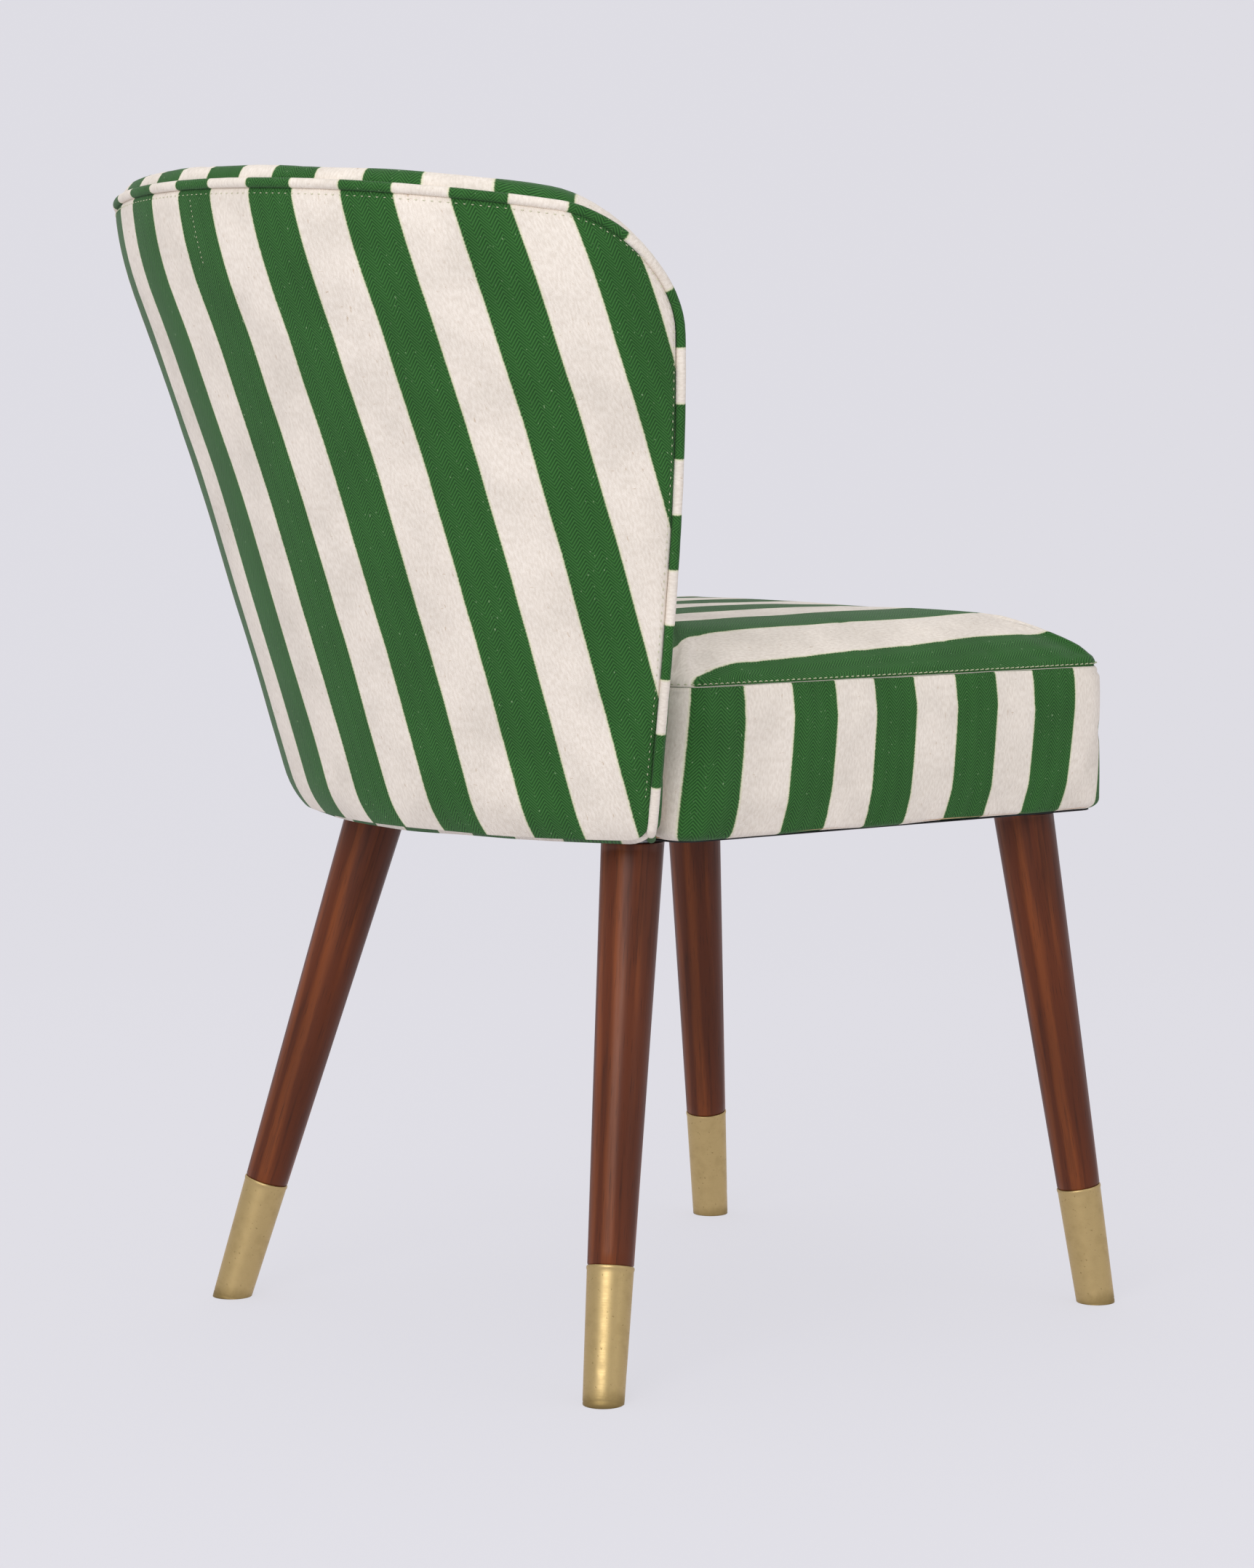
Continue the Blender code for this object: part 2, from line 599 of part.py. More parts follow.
def build_legs(parts, cutters):
    over = box("above_legs", (-BEYOND, -BEYOND, LEG_TOP), (BEYOND, BEYOND, BEYOND), cutters)
    floor = box("below_floor", (-BEYOND, -BEYOND, -BEYOND), (BEYOND, BEYOND, 0.0), cutters)
    for name, (foot, lean) in leg_places().items():
        stretch = lean.length
        length = LEG_TOP * stretch
        widening = (LEG_TOP_RADIUS - LEG_FOOT_RADIUS) / length
        rim = FERRULE_HEIGHT * stretch
        beyond = length + 2 * LEG_TOP_RADIUS * math.tan(lean.angle(Vector((0.0, 0.0, 1.0))))
        tenon = FERRULE_WALL + FIT - FERRULE_PROUD

        def radius(height):
            return LEG_FOOT_RADIUS + widening * height

        wood = [(0.0, beyond), (radius(beyond), beyond), (radius(rim) + FERRULE_PROUD / 2, rim + FIT)]
        wood += [(radius(rim) - tenon, rim + FIT), (radius(FERRULE_SOLE) - tenon, FERRULE_SOLE + FIT)]
        wood += [(0.0, FERRULE_SOLE + FIT)]
        leg = stand(revolve("leg_" + name, wood, LEG_STEPS, "stained_wood", parts), foot, lean)
        cut(leg, over)
        x, y = leg_tops()[name]
        hole = rod(BOLT_RADIUS + FIT, -HANGER_IN_LEG - FIT, HANGER_LENGTH)
        bore = revolve("bore_leg_" + name, hole, BORE_STEPS, None, cutters)
        bore.location = (x, y, LEG_TOP)
        cut(leg, bore)

        wall = FERRULE_WALL - FERRULE_PROUD
        below = -2 * LEG_FOOT_RADIUS * math.tan(lean.angle(Vector((0.0, 0.0, 1.0))))
        cup = [(0.0, FERRULE_SOLE), (radius(FERRULE_SOLE) - wall, FERRULE_SOLE)]
        cup += [(radius(rim) - wall, rim), (radius(rim) + FERRULE_PROUD, rim)]
        cup += [(radius(below) + FERRULE_PROUD, below), (0.0, below)]
        ferrule = stand(revolve("ferrule_" + name, cup, LEG_STEPS, "brass", parts), foot, lean)
        cut(ferrule, floor)

        shank = rod(BOLT_RADIUS, -HANGER_IN_LEG, HANGER_LENGTH - HANGER_IN_LEG)
        hanger = revolve("hanger_bolt_" + name, shank, BOLT_STEPS, "zinc_steel", parts)
        hanger.location = (x, y, LEG_TOP)
        eye = BOLT_RADIUS + FIT
        disc = [(eye, PLATE_THICKNESS), (PLATE_RADIUS, PLATE_THICKNESS)]
        disc += [(PLATE_RADIUS, 0.0), (eye, 0.0)]
        plate = revolve("leg_plate_" + name, disc + disc[:1], LEG_STEPS, "zinc_steel", parts)
        plate.location = (x, y, LEG_TOP + FIT)


# ---- back ----


def curved_block(name, corners, near, far, columns, rows, parts, colour="beech"):
    """A block bent with the back, from its four (arc, rise) corners counter-clockwise from lower left."""
    grid = []
    for depth in (near, far):
        for j in range(rows + 1):
            for i in range(columns + 1):
                u, v = i / columns, j / rows
                low = np.array(corners[0]) * (1 - u) + np.array(corners[1]) * u
                high = np.array(corners[3]) * (1 - u) + np.array(corners[2]) * u
                arc, rise = low * (1 - v) + high * v
                rise -= BACK_ARCH * arc**2 * rise / BACK_HEIGHT
                grid.append(back_point(arc, rise, depth))
    width, layer = columns + 1, (columns + 1) * (rows + 1)
    faces = []
    for j in range(rows):
        for i in range(columns):
            a = j * width + i
            quad = (a, a + 1, a + 1 + width, a + width)
            faces += [quad, tuple(layer + q for q in quad[::-1])]
    edge = [i for i in range(width)] + [j * width + columns for j in range(1, rows + 1)]
    edge += [rows * width + i for i in range(columns - 1, -1, -1)]
    edge += [j * width for j in range(rows - 1, 0, -1)]
    for a, b in zip(edge, edge[1:] + edge[:1]):
        faces.append((a, b, layer + b, layer + a))
    return face_out(finish(mesh_object(name, grid, faces), colour, parts))


def build_back_frame(parts, bores):
    """Bent bottom and top rails, two slanted uprights and two stays, all in the foam's pocket."""
    gap = CAVITY_INSET + BEND_FIT
    slant = gap * math.hypot(1.0, BACK_SIDE_FLARE)
    near, far = FRAME_DEPTH, FRAME_DEPTH + BACK_RAIL_DEPTH

    def side(rise, inset=0.0):
        return BACK_FOOT_ARC + rise * BACK_SIDE_FLARE - slant - inset

    low, low_top = gap, gap + BACK_RAIL_WIDTH
    high_low, high = BACK_HEIGHT - gap - BACK_RAIL_WIDTH, BACK_HEIGHT - gap
    post = BACK_POST_WIDTH
    foot = side(low) - BACK_CORNER_FOOT
    rail = [(-foot, low), (foot, low), (foot, low_top), (-foot, low_top)]
    bottom = curved_block("back_bottom_rail", rail, near, far, 14, 1, parts)
    cut(bottom, bores)
    top_arc = side(high) - BACK_CORNER_TOP
    rail = [(-top_arc, high_low), (top_arc, high_low), (top_arc, high), (-top_arc, high)]
    curved_block("back_top_rail", rail, near, far, 14, 1, parts)
    for hand, sign in (("left", -1), ("right", 1)):
        a, b = low_top + FIT, high_low - FIT
        post_corners = [(side(a, post), a), (side(a), a), (side(b), b), (side(b, post), b)]
        ordered = [(sign * arc, rise) for arc, rise in post_corners]
        curved_block("back_upright_" + hand, ordered, near, far, 3, 5, parts)
        arcs = (BACK_STAY_ARC - BACK_STAY_WIDTH / 2, BACK_STAY_ARC + BACK_STAY_WIDTH / 2)
        stay = [(sign * arcs[0], a), (sign * arcs[1], a), (sign * arcs[1], b), (sign * arcs[0], b)]
        curved_block("back_stay_" + hand, stay, near, far, 3, 4, parts)


def build_back(parts, bores):
    build_back_frame(parts, bores)
    edges = [ring for ring, _ in face_edges(CAVITY_INSET + BEND_FIT)]
    front = PANEL_DEPTH + BACK_PANEL_THICKNESS
    board = [back_ring(ring, PANEL_DEPTH) for ring in edges]
    face = [back_ring(ring, front) for ring in edges]
    hubs = back_middle(PANEL_DEPTH), back_middle(front)
    cut(loft("back_panel", board[::-1] + face, *hubs, "plywood", parts), bores)

    pocket = [back_ring(ring, FOAM_DEPTH) for ring, _ in face_edges(CAVITY_INSET)][::-1]
    pocket += [back_ring(shield(i), FRAME_DEPTH) for i in (CAVITY_INSET, 2 * PIPING_RADIUS)]
    under = CLOTH + PADDING_FIT
    start = PIPING_SINK + PIPING_RADIUS + FIT
    hubs = back_middle(FOAM_DEPTH), front_middle(under)
    foam = loft("back_foam", pocket + front_rings(start, under)[1:], *hubs, "foam", parts)
    cut(foam, bores)

    rings = front_rings(start, 0.0)
    inside = loft("inside_back_cover", rings, None, front_middle(0.0), "striped_cloth", parts)
    solidify(inside, CLOTH, back_middle(FOAM_DEPTH), even=False)
    cut(inside, bores)

    outer = [back_ring(ring, 0.0) for ring, _ in face_edges(PIPING_RADIUS + 2 * FIT)]
    outside = loft("outside_back_cover", outer, None, back_middle(0.0), "striped_cloth", parts)
    solidify(outside, CLOTH, back_middle(FOAM_DEPTH), even=False)
    build_piping(parts)
    build_back_bolts(parts)


def build_piping(parts):
    """A cord along the outside back's sides and top, with its ends at the two lower corners."""
    ring = shield(0.0)
    lowest = ring[:, 1] > BACK_CORNER_FOOT / 2
    first = int(np.argmax(lowest))
    last = len(ring) - int(np.argmax(lowest[::-1]))
    path = back_ring(ring[first:last], PIPING_SINK)
    curve = bpy.data.curves.new("back_welt", "CURVE")
    curve.dimensions = "3D"
    curve.bevel_depth = PIPING_RADIUS
    curve.bevel_resolution = 2
    curve.use_fill_caps = True
    spline = curve.splines.new("POLY")
    spline.points.add(len(path) - 1)
    for point, place in zip(spline.points, path):
        point.co = (*place, 1.0)
    finish(bpy.data.objects.new("back_welt", curve), "piping_cloth", parts)


def bolt_heads():
    """Where each back bolt's head sits, and its length to the end of its thread in the seat rail."""
    corner, bow = seat_rear_edge()
    for arc in BACK_BOLT_ARCS:
        for hand, side in (("left", -1.0), ("right", 1.0)):
            x, y, z = back_point(side * arc, BACK_BOLT_RISE, BOLT_SETBACK)
            edge = corner + bow * (1.0 - (abs(x) / (SEAT_REAR_HALF * SEAT_BOW_SHARE)) ** SEAT_BOW_POWER)
            end = edge - FRAME_INSET - BOLT_BITE
            yield hand, Vector((x, y, z)), y - end


def bolt_profile(length, extra):
    """Head and shank along the axis; extra is the clearance of the hole it goes in."""
    head = BOLT_HEAD_RADIUS + extra
    shank = BOLT_RADIUS + extra
    top = BOLT_SETBACK if extra else 0.0
    under, end = -BOLT_HEAD - extra, -length - extra
    return [(0.0, top), (head, top), (head, under), (shank, under), (shank, end), (0.0, end)]


def build_back_bolts(parts):
    for index, (hand, place, length) in enumerate(bolt_heads()):
        name = "back_bolt_" + hand + ("_inner" if index < 2 else "_outer")
        bolt = revolve(name, bolt_profile(length, 0.0), BOLT_STEPS, "zinc_steel", parts)
        bolt.rotation_euler = (-math.pi / 2, 0.0, 0.0)
        bolt.location = place


def build_bores(cutters):
    """The four bolt holes as one cutter."""
    drafts = []
    for hand, place, length in bolt_heads():
        draft = revolve("bore_back", bolt_profile(length, FIT), BORE_STEPS, None, cutters)
        draft.rotation_euler = (-math.pi / 2, 0.0, 0.0)
        draft.location = place
        drafts.append(draft)
    bpy.context.view_layer.update()
    work = bmesh.new()
    for draft in drafts:
        turned = draft.evaluated_get(bpy.context.evaluated_depsgraph_get())
        mesh = bpy.data.meshes.new_from_object(turned)
        mesh.transform(draft.matrix_world)
        work.from_mesh(mesh)
        bpy.data.meshes.remove(mesh)
        bpy.data.objects.remove(draft, do_unlink=True)
    bmesh.ops.remove_doubles(work, verts=work.verts, dist=WELD / 50)
    bmesh.ops.recalc_face_normals(work, faces=work.faces)
    mesh = bpy.data.meshes.new("bores_back")
    work.to_mesh(mesh)
    work.free()
    item = bpy.data.objects.new("bores_back", mesh)
    cutters.objects.link(item)
    return item


def centre_on_floor(parts, cutters):
    """Moves everything so that the origin is on the floor under the middle of the chair."""
    bpy.context.view_layer.update()
    graph = bpy.context.evaluated_depsgraph_get()
    low, high = [], []
    for item in parts.objects:
        shown = item.evaluated_get(graph)
        mesh = shown.to_mesh()
        depths = [(item.matrix_world @ v.co).y for v in mesh.vertices]
        shown.to_mesh_clear()
        low.append(min(depths))
        high.append(max(depths))
    shift = -(min(low) + max(high)) / 2
    for item in list(parts.objects) + list(cutters.objects):
        item.location.y += shift


def main():
    clear_scene()
    parts = collection("dining_chair")
    cutters = collection("cutters")
    bores = build_bores(cutters)
    build_seat(parts, cutters, bores)
    build_legs(parts, cutters)
    build_back(parts, bores)
    for item in cutters.objects:
        item.hide_render = True
        item.display_type = "WIRE"
    centre_on_floor(parts, cutters)


main()
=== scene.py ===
"""Cloth, wood and metal of an upholstered dining chair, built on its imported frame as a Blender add-on."""

import json
import math

import bmesh
import bpy
import numpy as np
from mathutils import Matrix, Vector, noise

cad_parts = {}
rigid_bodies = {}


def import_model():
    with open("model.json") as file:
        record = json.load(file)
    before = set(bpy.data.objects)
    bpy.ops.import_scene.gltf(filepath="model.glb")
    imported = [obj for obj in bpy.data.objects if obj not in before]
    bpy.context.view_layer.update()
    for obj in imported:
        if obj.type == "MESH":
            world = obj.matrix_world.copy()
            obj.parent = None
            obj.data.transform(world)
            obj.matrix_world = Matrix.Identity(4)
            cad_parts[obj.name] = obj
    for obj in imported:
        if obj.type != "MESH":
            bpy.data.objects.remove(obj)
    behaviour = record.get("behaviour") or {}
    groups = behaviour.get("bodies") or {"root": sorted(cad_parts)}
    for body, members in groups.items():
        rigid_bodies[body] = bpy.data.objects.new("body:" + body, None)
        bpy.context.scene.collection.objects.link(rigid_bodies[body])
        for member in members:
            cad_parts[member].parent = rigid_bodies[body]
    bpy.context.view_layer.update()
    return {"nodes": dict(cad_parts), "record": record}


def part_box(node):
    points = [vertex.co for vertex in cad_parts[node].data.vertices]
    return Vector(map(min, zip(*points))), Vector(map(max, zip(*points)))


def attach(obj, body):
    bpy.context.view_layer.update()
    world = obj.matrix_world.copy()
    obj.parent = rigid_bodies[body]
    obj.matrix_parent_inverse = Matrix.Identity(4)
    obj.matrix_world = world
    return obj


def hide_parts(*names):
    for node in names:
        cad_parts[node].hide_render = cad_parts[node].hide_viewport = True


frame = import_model()

bl_info = {
    "name": "Dining Chair Upholstery",
    "version": (1, 0, 0),
    "blender": (4, 5, 0),
    "location": "View3D > Sidebar > Dining Chair",
    "description": "Covers the frame of a dining chair with striped cloth, stained legs and brass feet",
    "category": "Object",
}

# ---- where the frame stands: the mounts are the middles of the four feet, in metres ----
FEET = {m["name"].replace("sole_", ""): Vector(m["pos_m"]) for m in frame["record"]["mounts"]}
MIDDLE = sum(foot.y for foot in FEET.values()) / len(FEET)  # halfway between front and rear feet
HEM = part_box("seat_border")[0].z  # lower edge of the seat's side band
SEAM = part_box("seat_border")[1].z  # where the side band meets the top

# ---- shape of the back, along its cloth: arc from the middle, rise above the hem ----
BACK_HEIGHT = 0.4310  # piping at the top above the hem
BACK_REAR = 0.2540  # rearmost point at the hem, behind the middle of the feet
BACK_LEAN = 0.333  # how far it leans back, per height
BACK_CURL = 0.25  # how much more it leans towards the top
BACK_HALF = 0.236  # half width of the ellipse that it follows in plan
BACK_HALF_FLARE = 0.038
BACK_DEPTH = 0.163  # depth of that ellipse
BACK_DEPTH_FLARE = 0.0595
BACK_FOOT_ARC = 0.2155  # half the cloth's width at the hem
BACK_SIDE_FLARE = 1.0 / 3.0
BACK_ARCH = 0.228  # how much the top drops away to the sides
BACK_CORNERS = (0.022, 0.058)  # lower and upper corner radius
BACK_TOP_TILT = math.radians(20.0)  # how far the padding tilts up towards the top
EDGE_DEPTH = 0.042  # padding at the edge
FACE_DEPTH = 0.050  # padding in the middle
FILL_STEPS = 20  # frames in which a padded piece fills out
LUMBAR = (0.022, 0.120, 0.080, 0.200)  # swell, its height, its spread up and its spread across
ROLL_SIDE = 0.014  # how far the padded edge stands past the piping at the sides
ROLL_TOP = 0.0125
ROLL_RETURN = 0.012  # where that roll ends on the sitter's side
ROLL_START = 0.0035  # where it starts, in from the outside back
BACKING_DEPTH = 0.0030  # back of the padding, in from the outside back
TOP_TURN = (0.013, 0.076, 2.2)  # how far the top edge turns in, over what height, and how suddenly
FOOT_TUCK = 0.009  # how far the outside back turns in at its lower edge
FOOT_TUCK_HEIGHT = 0.032
BACK_COUNTS = (36, 6, 60, 16, 40)  # steps along the foot, lower corner, side, upper corner and top

# ---- shape of the seat ----
SEAT_FRONT_HALF = 0.222  # half the width at the front
SEAT_REAR_HALF = 0.1965
SEAT_FRONT_REACH = 0.2300  # front corners ahead of the middle of the feet
SEAT_FRONT_BOW = 0.004
SEAT_REAR_CORNER = 0.1554  # rear corners behind the middle of the feet
SEAT_REAR_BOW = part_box("seat_top_cover")[1].y - MIDDLE - SEAT_REAR_CORNER
SEAT_CORNERS = (0.019, 0.022)  # front and rear corner radius
SEAT_BOW_SHARE = 0.85  # share of the rear width that bows
SEAT_EDGE_ROLL = 0.060  # how far in the padding curves
HEM_RADIUS = 0.0075
SEAT_START = 0.0375  # crown before the padding fills out
SEAM_LIP = 0.0022  # height over which the top turns away from the seam
SEAT_COUNTS = (36, 8, 66, 8, 30)  # steps along the front, front corner, side, rear corner and rear
INWARD = (0.012, 0.016, 0.021, 0.027, 0.034, 0.042, 0.051, 0.061, 0.072, 0.084)  # rows of a padded face
TO_MIDDLE = np.linspace(0.92, 0.06, 14)  # rows inside those, as shares of the last one

# ---- how the stripes lie ----
SEAT_REAR_TUCK = 0.0125  # cloth taken up at the rear corners
SEAT_DRAW = (  # distance back from the front corner, and how much tighter the side band was sewn by there
    (0.0, 0.04, 0.07, 0.11, 0.15, 0.18, 0.21, 0.245, 0.28, 0.32, 0.36),
    (0.0025, 0.004, 0.003, 0.006, 0.007, 0.0075, 0.008, 0.0125, 0.013, 0.0125, 0.0045),
)
SEAT_LEAN = 0.095  # how far the side band's stripes lean, per height
INSIDE_CLOTH = (  # distance across the outside of the back, and across the sitter's cloth opposite it
    (0.0, 0.0468, 0.0777, 0.1142, 0.1517, 0.1946, 0.2445, 0.310, 0.360),
    (0.0, 0.0508, 0.0887, 0.1266, 0.1645, 0.2024, 0.2403, 0.2782, 0.305),
)
INSIDE_CLOTH_SHIFT = 0.0129  # how far off centre the sitter's cloth was laid

# ---- studio ----
VIEW_PLACE = (-2.2230, 1.9227 + MIDDLE, 0.6602)
VIEW_AHEAD = (0.7586, -0.6445, -0.0956)
VIEW_LENS = 93.81  # millimetres, on a 36 mm sensor
SWEEP_COLOUR = "#646367"
SWEEP_GLOW = "#DEDDE3"
SWEEP_HALF = 5.0  # half the sweep's width
SWEEP_NEAR = 6.0  # where it starts, on the camera's side
SWEEP_FAR = 1.6  # where it starts to turn up
SWEEP_TURN = 1.2  # radius of that turn
SWEEP_DROP = 0.0002  # below the soles, so that the two never share a plane

# ---- legs ----
FOOT_RADIUS = 0.0136
TOP_RADIUS = 0.0214
SPLAY = {"front": (0.0870, 0.1335), "rear": (0.1919, 0.2336)}  # sideways and lengthways, per height
LEG_SPARE = 0.012  # left above the seat's underside before the top is cut level
FERRULE_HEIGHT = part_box("ferrule_front_left")[1].z
LEG_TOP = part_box("leg_front_left")[1].z


def linear(code):
    """An sRGB hex colour as linear red, green and blue."""
    parts = [int(code[i : i + 2], 16) / 255.0 for i in (1, 3, 5)]
    return tuple(p / 12.92 if p <= 0.04045 else ((p + 0.055) / 1.055) ** 2.4 for p in parts)


def colour(name, description, code):
    return bpy.props.FloatVectorProperty(
        name=name, description=description, default=linear(code), subtype="COLOR", size=3, min=0.0, max=1.0
    )


def length(name, description, default):
    return bpy.props.FloatProperty(
        name=name, description=description, default=default, min=0.0, precision=5, unit="LENGTH"
    )


class ChairSizes(bpy.types.PropertyGroup):
    """Sizes of the cloth and its sewing."""

    stripe: length("Stripe width", "Width of one woven stripe", 0.0379)
    herringbone: length("Herringbone column", "Width of one column of the herringbone twill", 0.0060)
    twill: length("Twill line", "Distance between twill lines in the green stripes", 0.0025)
    thread: length("Linen thread", "Distance between threads in the cream stripes", 0.0010)
    piping: length("Piping diameter", "Covered cord round the back", 0.0066)
    bulge: length("Side bulge", "How far the seat's side band swells between seam and hem", 0.0032)
    stitch: length("Stitch length", "Length of one topstitch", 0.0030)
    stitch_step: length("Stitch spacing", "Distance from one topstitch to the next", 0.0047)
    slack: length("Slack", "Height of the soft unevenness of padded cloth", 0.0011)


class ChairColours(bpy.types.PropertyGroup):
    """Colours of the cloth, wood and metal."""

    green: colour("Green", "Dyed yarn of the green stripes", "#396F32")
    green_deep: colour("Deep green", "Shade between the twill lines", "#1A4219")
    cream: colour("Cream", "Undyed cotton of the cream stripes", "#F1E7DB")
    slub: colour("Slub", "Flecks of unbleached linen in the cream stripes", "#B99E80")
    selvedge: colour("Stripe edge", "Fine pale yarn between two stripes", "#D5D8AC")
    wood_dark: colour("Wood, dark grain", "Latewood and streaks under the stain", "#240D05")
    wood: colour("Wood", "Stained wood between the streaks", "#5E2A10")
    wood_light: colour("Wood, light grain", "Earlywood under the stain", "#984F20")
    brass: colour("Brass", "Brushed brass of the ferrules", "#C2A977")
    brass_aged: colour("Aged brass", "Darkened brass at the sole and rim", "#7E6A3E")


# ---- curves in plan ----


def rotate(vector, angle):
    c, s = math.cos(angle), math.sin(angle)
    return np.array((c * vector[0] - s * vector[1], s * vector[0] + c * vector[1]))


def fillet(before, corner, after, radius, count):
    """Points of the arc that rounds one corner."""
    into = (before - corner) / np.linalg.norm(before - corner)
    out = (after - corner) / np.linalg.norm(after - corner)
    half = math.acos(float(np.clip(into @ out, -1.0, 1.0))) / 2
    middle = corner + (into + out) / np.linalg.norm(into + out) * radius / math.sin(half)
    first = corner + into * radius / math.tan(half) - middle
    last = corner + out * radius / math.tan(half) - middle
    turn = math.atan2(first[0] * last[1] - first[1] * last[0], float(first @ last))
    return [middle + rotate(first, a) for a in np.linspace(0.0, turn, count + 1)]


def rounded_ring(start, lower, upper, end, radii, counts):
    """A closed ring mirrored from its right half: start, lower corner, upper corner, end."""
    first = fillet(start, lower, upper, radii[0], counts[1])
    second = fillet(lower, upper, end, radii[1], counts[3])
    half = [start + (first[0] - start) * i / counts[0] for i in range(counts[0])] + first
    half += [first[-1] + (second[0] - first[-1]) * i / counts[2] for i in range(1, counts[2])] + second
    half += [second[-1] + (end - second[-1]) * i / counts[4] for i in range(1, counts[4] + 1)]
    return np.array(half + [p * (-1, 1) for p in half[-2:0:-1]])


def shield(inset):
    """Edge of the back moved in by inset, as (arc, rise) along the cloth."""
    slant = inset * math.hypot(1.0, BACK_SIDE_FLARE)
    low, high = inset, BACK_HEIGHT - inset
    foot = np.array((BACK_FOOT_ARC + low * BACK_SIDE_FLARE - slant, low))
    head = np.array((BACK_FOOT_ARC + high * BACK_SIDE_FLARE - slant, high))
    radii = [max(r - inset, 0.3 * r) for r in BACK_CORNERS]
    ring = rounded_ring(np.array((0.0, low)), foot, head, np.array((0.0, high)), radii, BACK_COUNTS)
    ring[:, 1] -= BACK_ARCH * ring[:, 0] ** 2 * ring[:, 1] / BACK_HEIGHT
    return ring


def shield_normals():
    ring = shield(0.0)
    along = np.roll(ring, -1, axis=0) - np.roll(ring, 1, axis=0)
    normals = np.stack([along[:, 1], -along[:, 0]], axis=1)
    return normals / np.linalg.norm(normals, axis=1)[:, None]


def back_points(arc, rise, inward):
    """Points at a cloth distance from the middle, a rise, and a distance inward from the outside back."""
    arc, rise, inward = (np.asarray(a, float) for a in np.broadcast_arrays(arc, rise, inward))
    half = BACK_HALF + BACK_HALF_FLARE * rise
    depth = BACK_DEPTH + BACK_DEPTH_FLARE * rise
    turn = np.linspace(0.0, math.radians(115.0), 116)
    across = np.diff(half[..., None] * np.sin(turn), axis=-1)
    back = np.diff(depth[..., None] * np.cos(turn), axis=-1)
    lengths = np.cumsum(np.hypot(across, back), axis=-1)
    lengths = np.concatenate([np.zeros_like(lengths[..., :1]), lengths], axis=-1)
    place = np.clip((lengths < np.abs(arc)[..., None]).sum(axis=-1) - 1, 0, len(turn) - 2)
    low = np.take_along_axis(lengths, place[..., None], -1)[..., 0]
    high = np.take_along_axis(lengths, place[..., None] + 1, -1)[..., 0]
    angle = turn[place] + (np.abs(arc) - low) / (high - low) * (turn[1] - turn[0])
    side = np.where(arc < 0, -1.0, 1.0)
    out_x, out_y = side * depth * np.sin(angle), half * np.cos(angle)
    size = np.hypot(out_x, out_y)
    tilt = BACK_TOP_TILT * np.clip(rise / BACK_HEIGHT, 0.0, 1.0)
    turned_in = np.clip((rise - BACK_HEIGHT + TOP_TURN[1]) / TOP_TURN[1], 0.0, None)
    flat = inward * np.cos(tilt) + TOP_TURN[0] * turned_in ** TOP_TURN[2]
    x = side * half * np.sin(angle) - out_x / size * flat
    rear = BACK_REAR + BACK_LEAN * rise + BACK_CURL * rise**3
    y = rear - depth * (1.0 - np.cos(angle)) - out_y / size * flat + MIDDLE
    return np.stack([x, y, HEM + rise + inward * np.sin(tilt)], axis=-1)


def back_point(arc, rise, inward):
    return back_points(np.array([arc]), np.array([rise]), np.array([inward]))[0]


def distance_along(line):
    """How far along a line each of its points lies."""
    return np.concatenate([[0.0], np.cumsum(np.linalg.norm(np.diff(line, axis=0), axis=1))])


def smooth(share):
    share = np.clip(share, 0.0, 1.0)
    return share * share * (3.0 - 2.0 * share)


def outside_turn(ring):
    """How far the outside back turns in towards the frame at its foot."""
    low = np.clip((FOOT_TUCK_HEIGHT - ring[:, 1]) / FOOT_TUCK_HEIGHT, 0.0, 1.0)
    return FOOT_TUCK * low**2.5


def padding(ring, inset):
    """Distance from outside back to the sitter's side: lumbar swell in the middle, thin at the edge."""
    swell = LUMBAR[0] * np.exp(-(((ring[:, 1] - LUMBAR[1]) / LUMBAR[2]) ** 2))
    swell = swell * np.clip(1.0 - (ring[:, 0] / LUMBAR[3]) ** 2, 0.0, 1.0)
    return EDGE_DEPTH + (FACE_DEPTH - EDGE_DEPTH + swell) * smooth((inset - ROLL_RETURN) / SEAT_EDGE_ROLL)


# ---- meshes ----


def skin(name, rings, cloth, hubs, inside):
    """A cloth piece from equal rings, with fabric coordinates in metres in its UV map.

    hubs are the (point, cloth place) that close the first and last ring, and inside is a point on the
    padding's side.
    """
    rings, cloth = np.array(rings, float), np.array(cloth, float)
    rows, count = rings.shape[:2]
    if cloth.shape[1] == count:
        cloth = np.concatenate([cloth, cloth[:, :1]], axis=1)
    points = [tuple(p) for p in rings.reshape(-1, 3)]
    faces, places = [], []
    for k in range(rows - 1):
        for i in range(count):
            j = (i + 1) % count
            faces.append((k * count + i, k * count + j, (k + 1) * count + j, (k + 1) * count + i))
            places.append((cloth[k, i], cloth[k, i + 1], cloth[k + 1, i + 1], cloth[k + 1, i]))
    for hub, row, turn in ((hubs[0], 0, 1), (hubs[1], rows - 1, -1)):
        if hub is None:
            continue
        for i in range(count):
            face = (row * count + (i + 1) % count, row * count + i, len(points))
            place = (cloth[row, i + 1], cloth[row, i], np.array(hub[1]))
            faces.append(face[::turn])
            places.append(place[::turn])
        points.append(tuple(hub[0]))
    mesh = bpy.data.meshes.new(name)
    mesh.from_pydata(points, [], faces)
    outward = sum(f.normal.dot(f.center - Vector(inside)) * f.area for f in mesh.polygons)
    if outward < 0:
        bpy.data.meshes.remove(mesh)
        mesh = bpy.data.meshes.new(name)
        faces = [f[::-1] for f in faces]
        places = [p[::-1] for p in places]
        mesh.from_pydata(points, [], faces)
    layer = mesh.uv_layers.new(name="Cloth")
    layer.data.foreach_set("uv", np.concatenate([np.array(p) for p in places]).ravel())
    return show(bpy.data.objects.new(name, mesh))


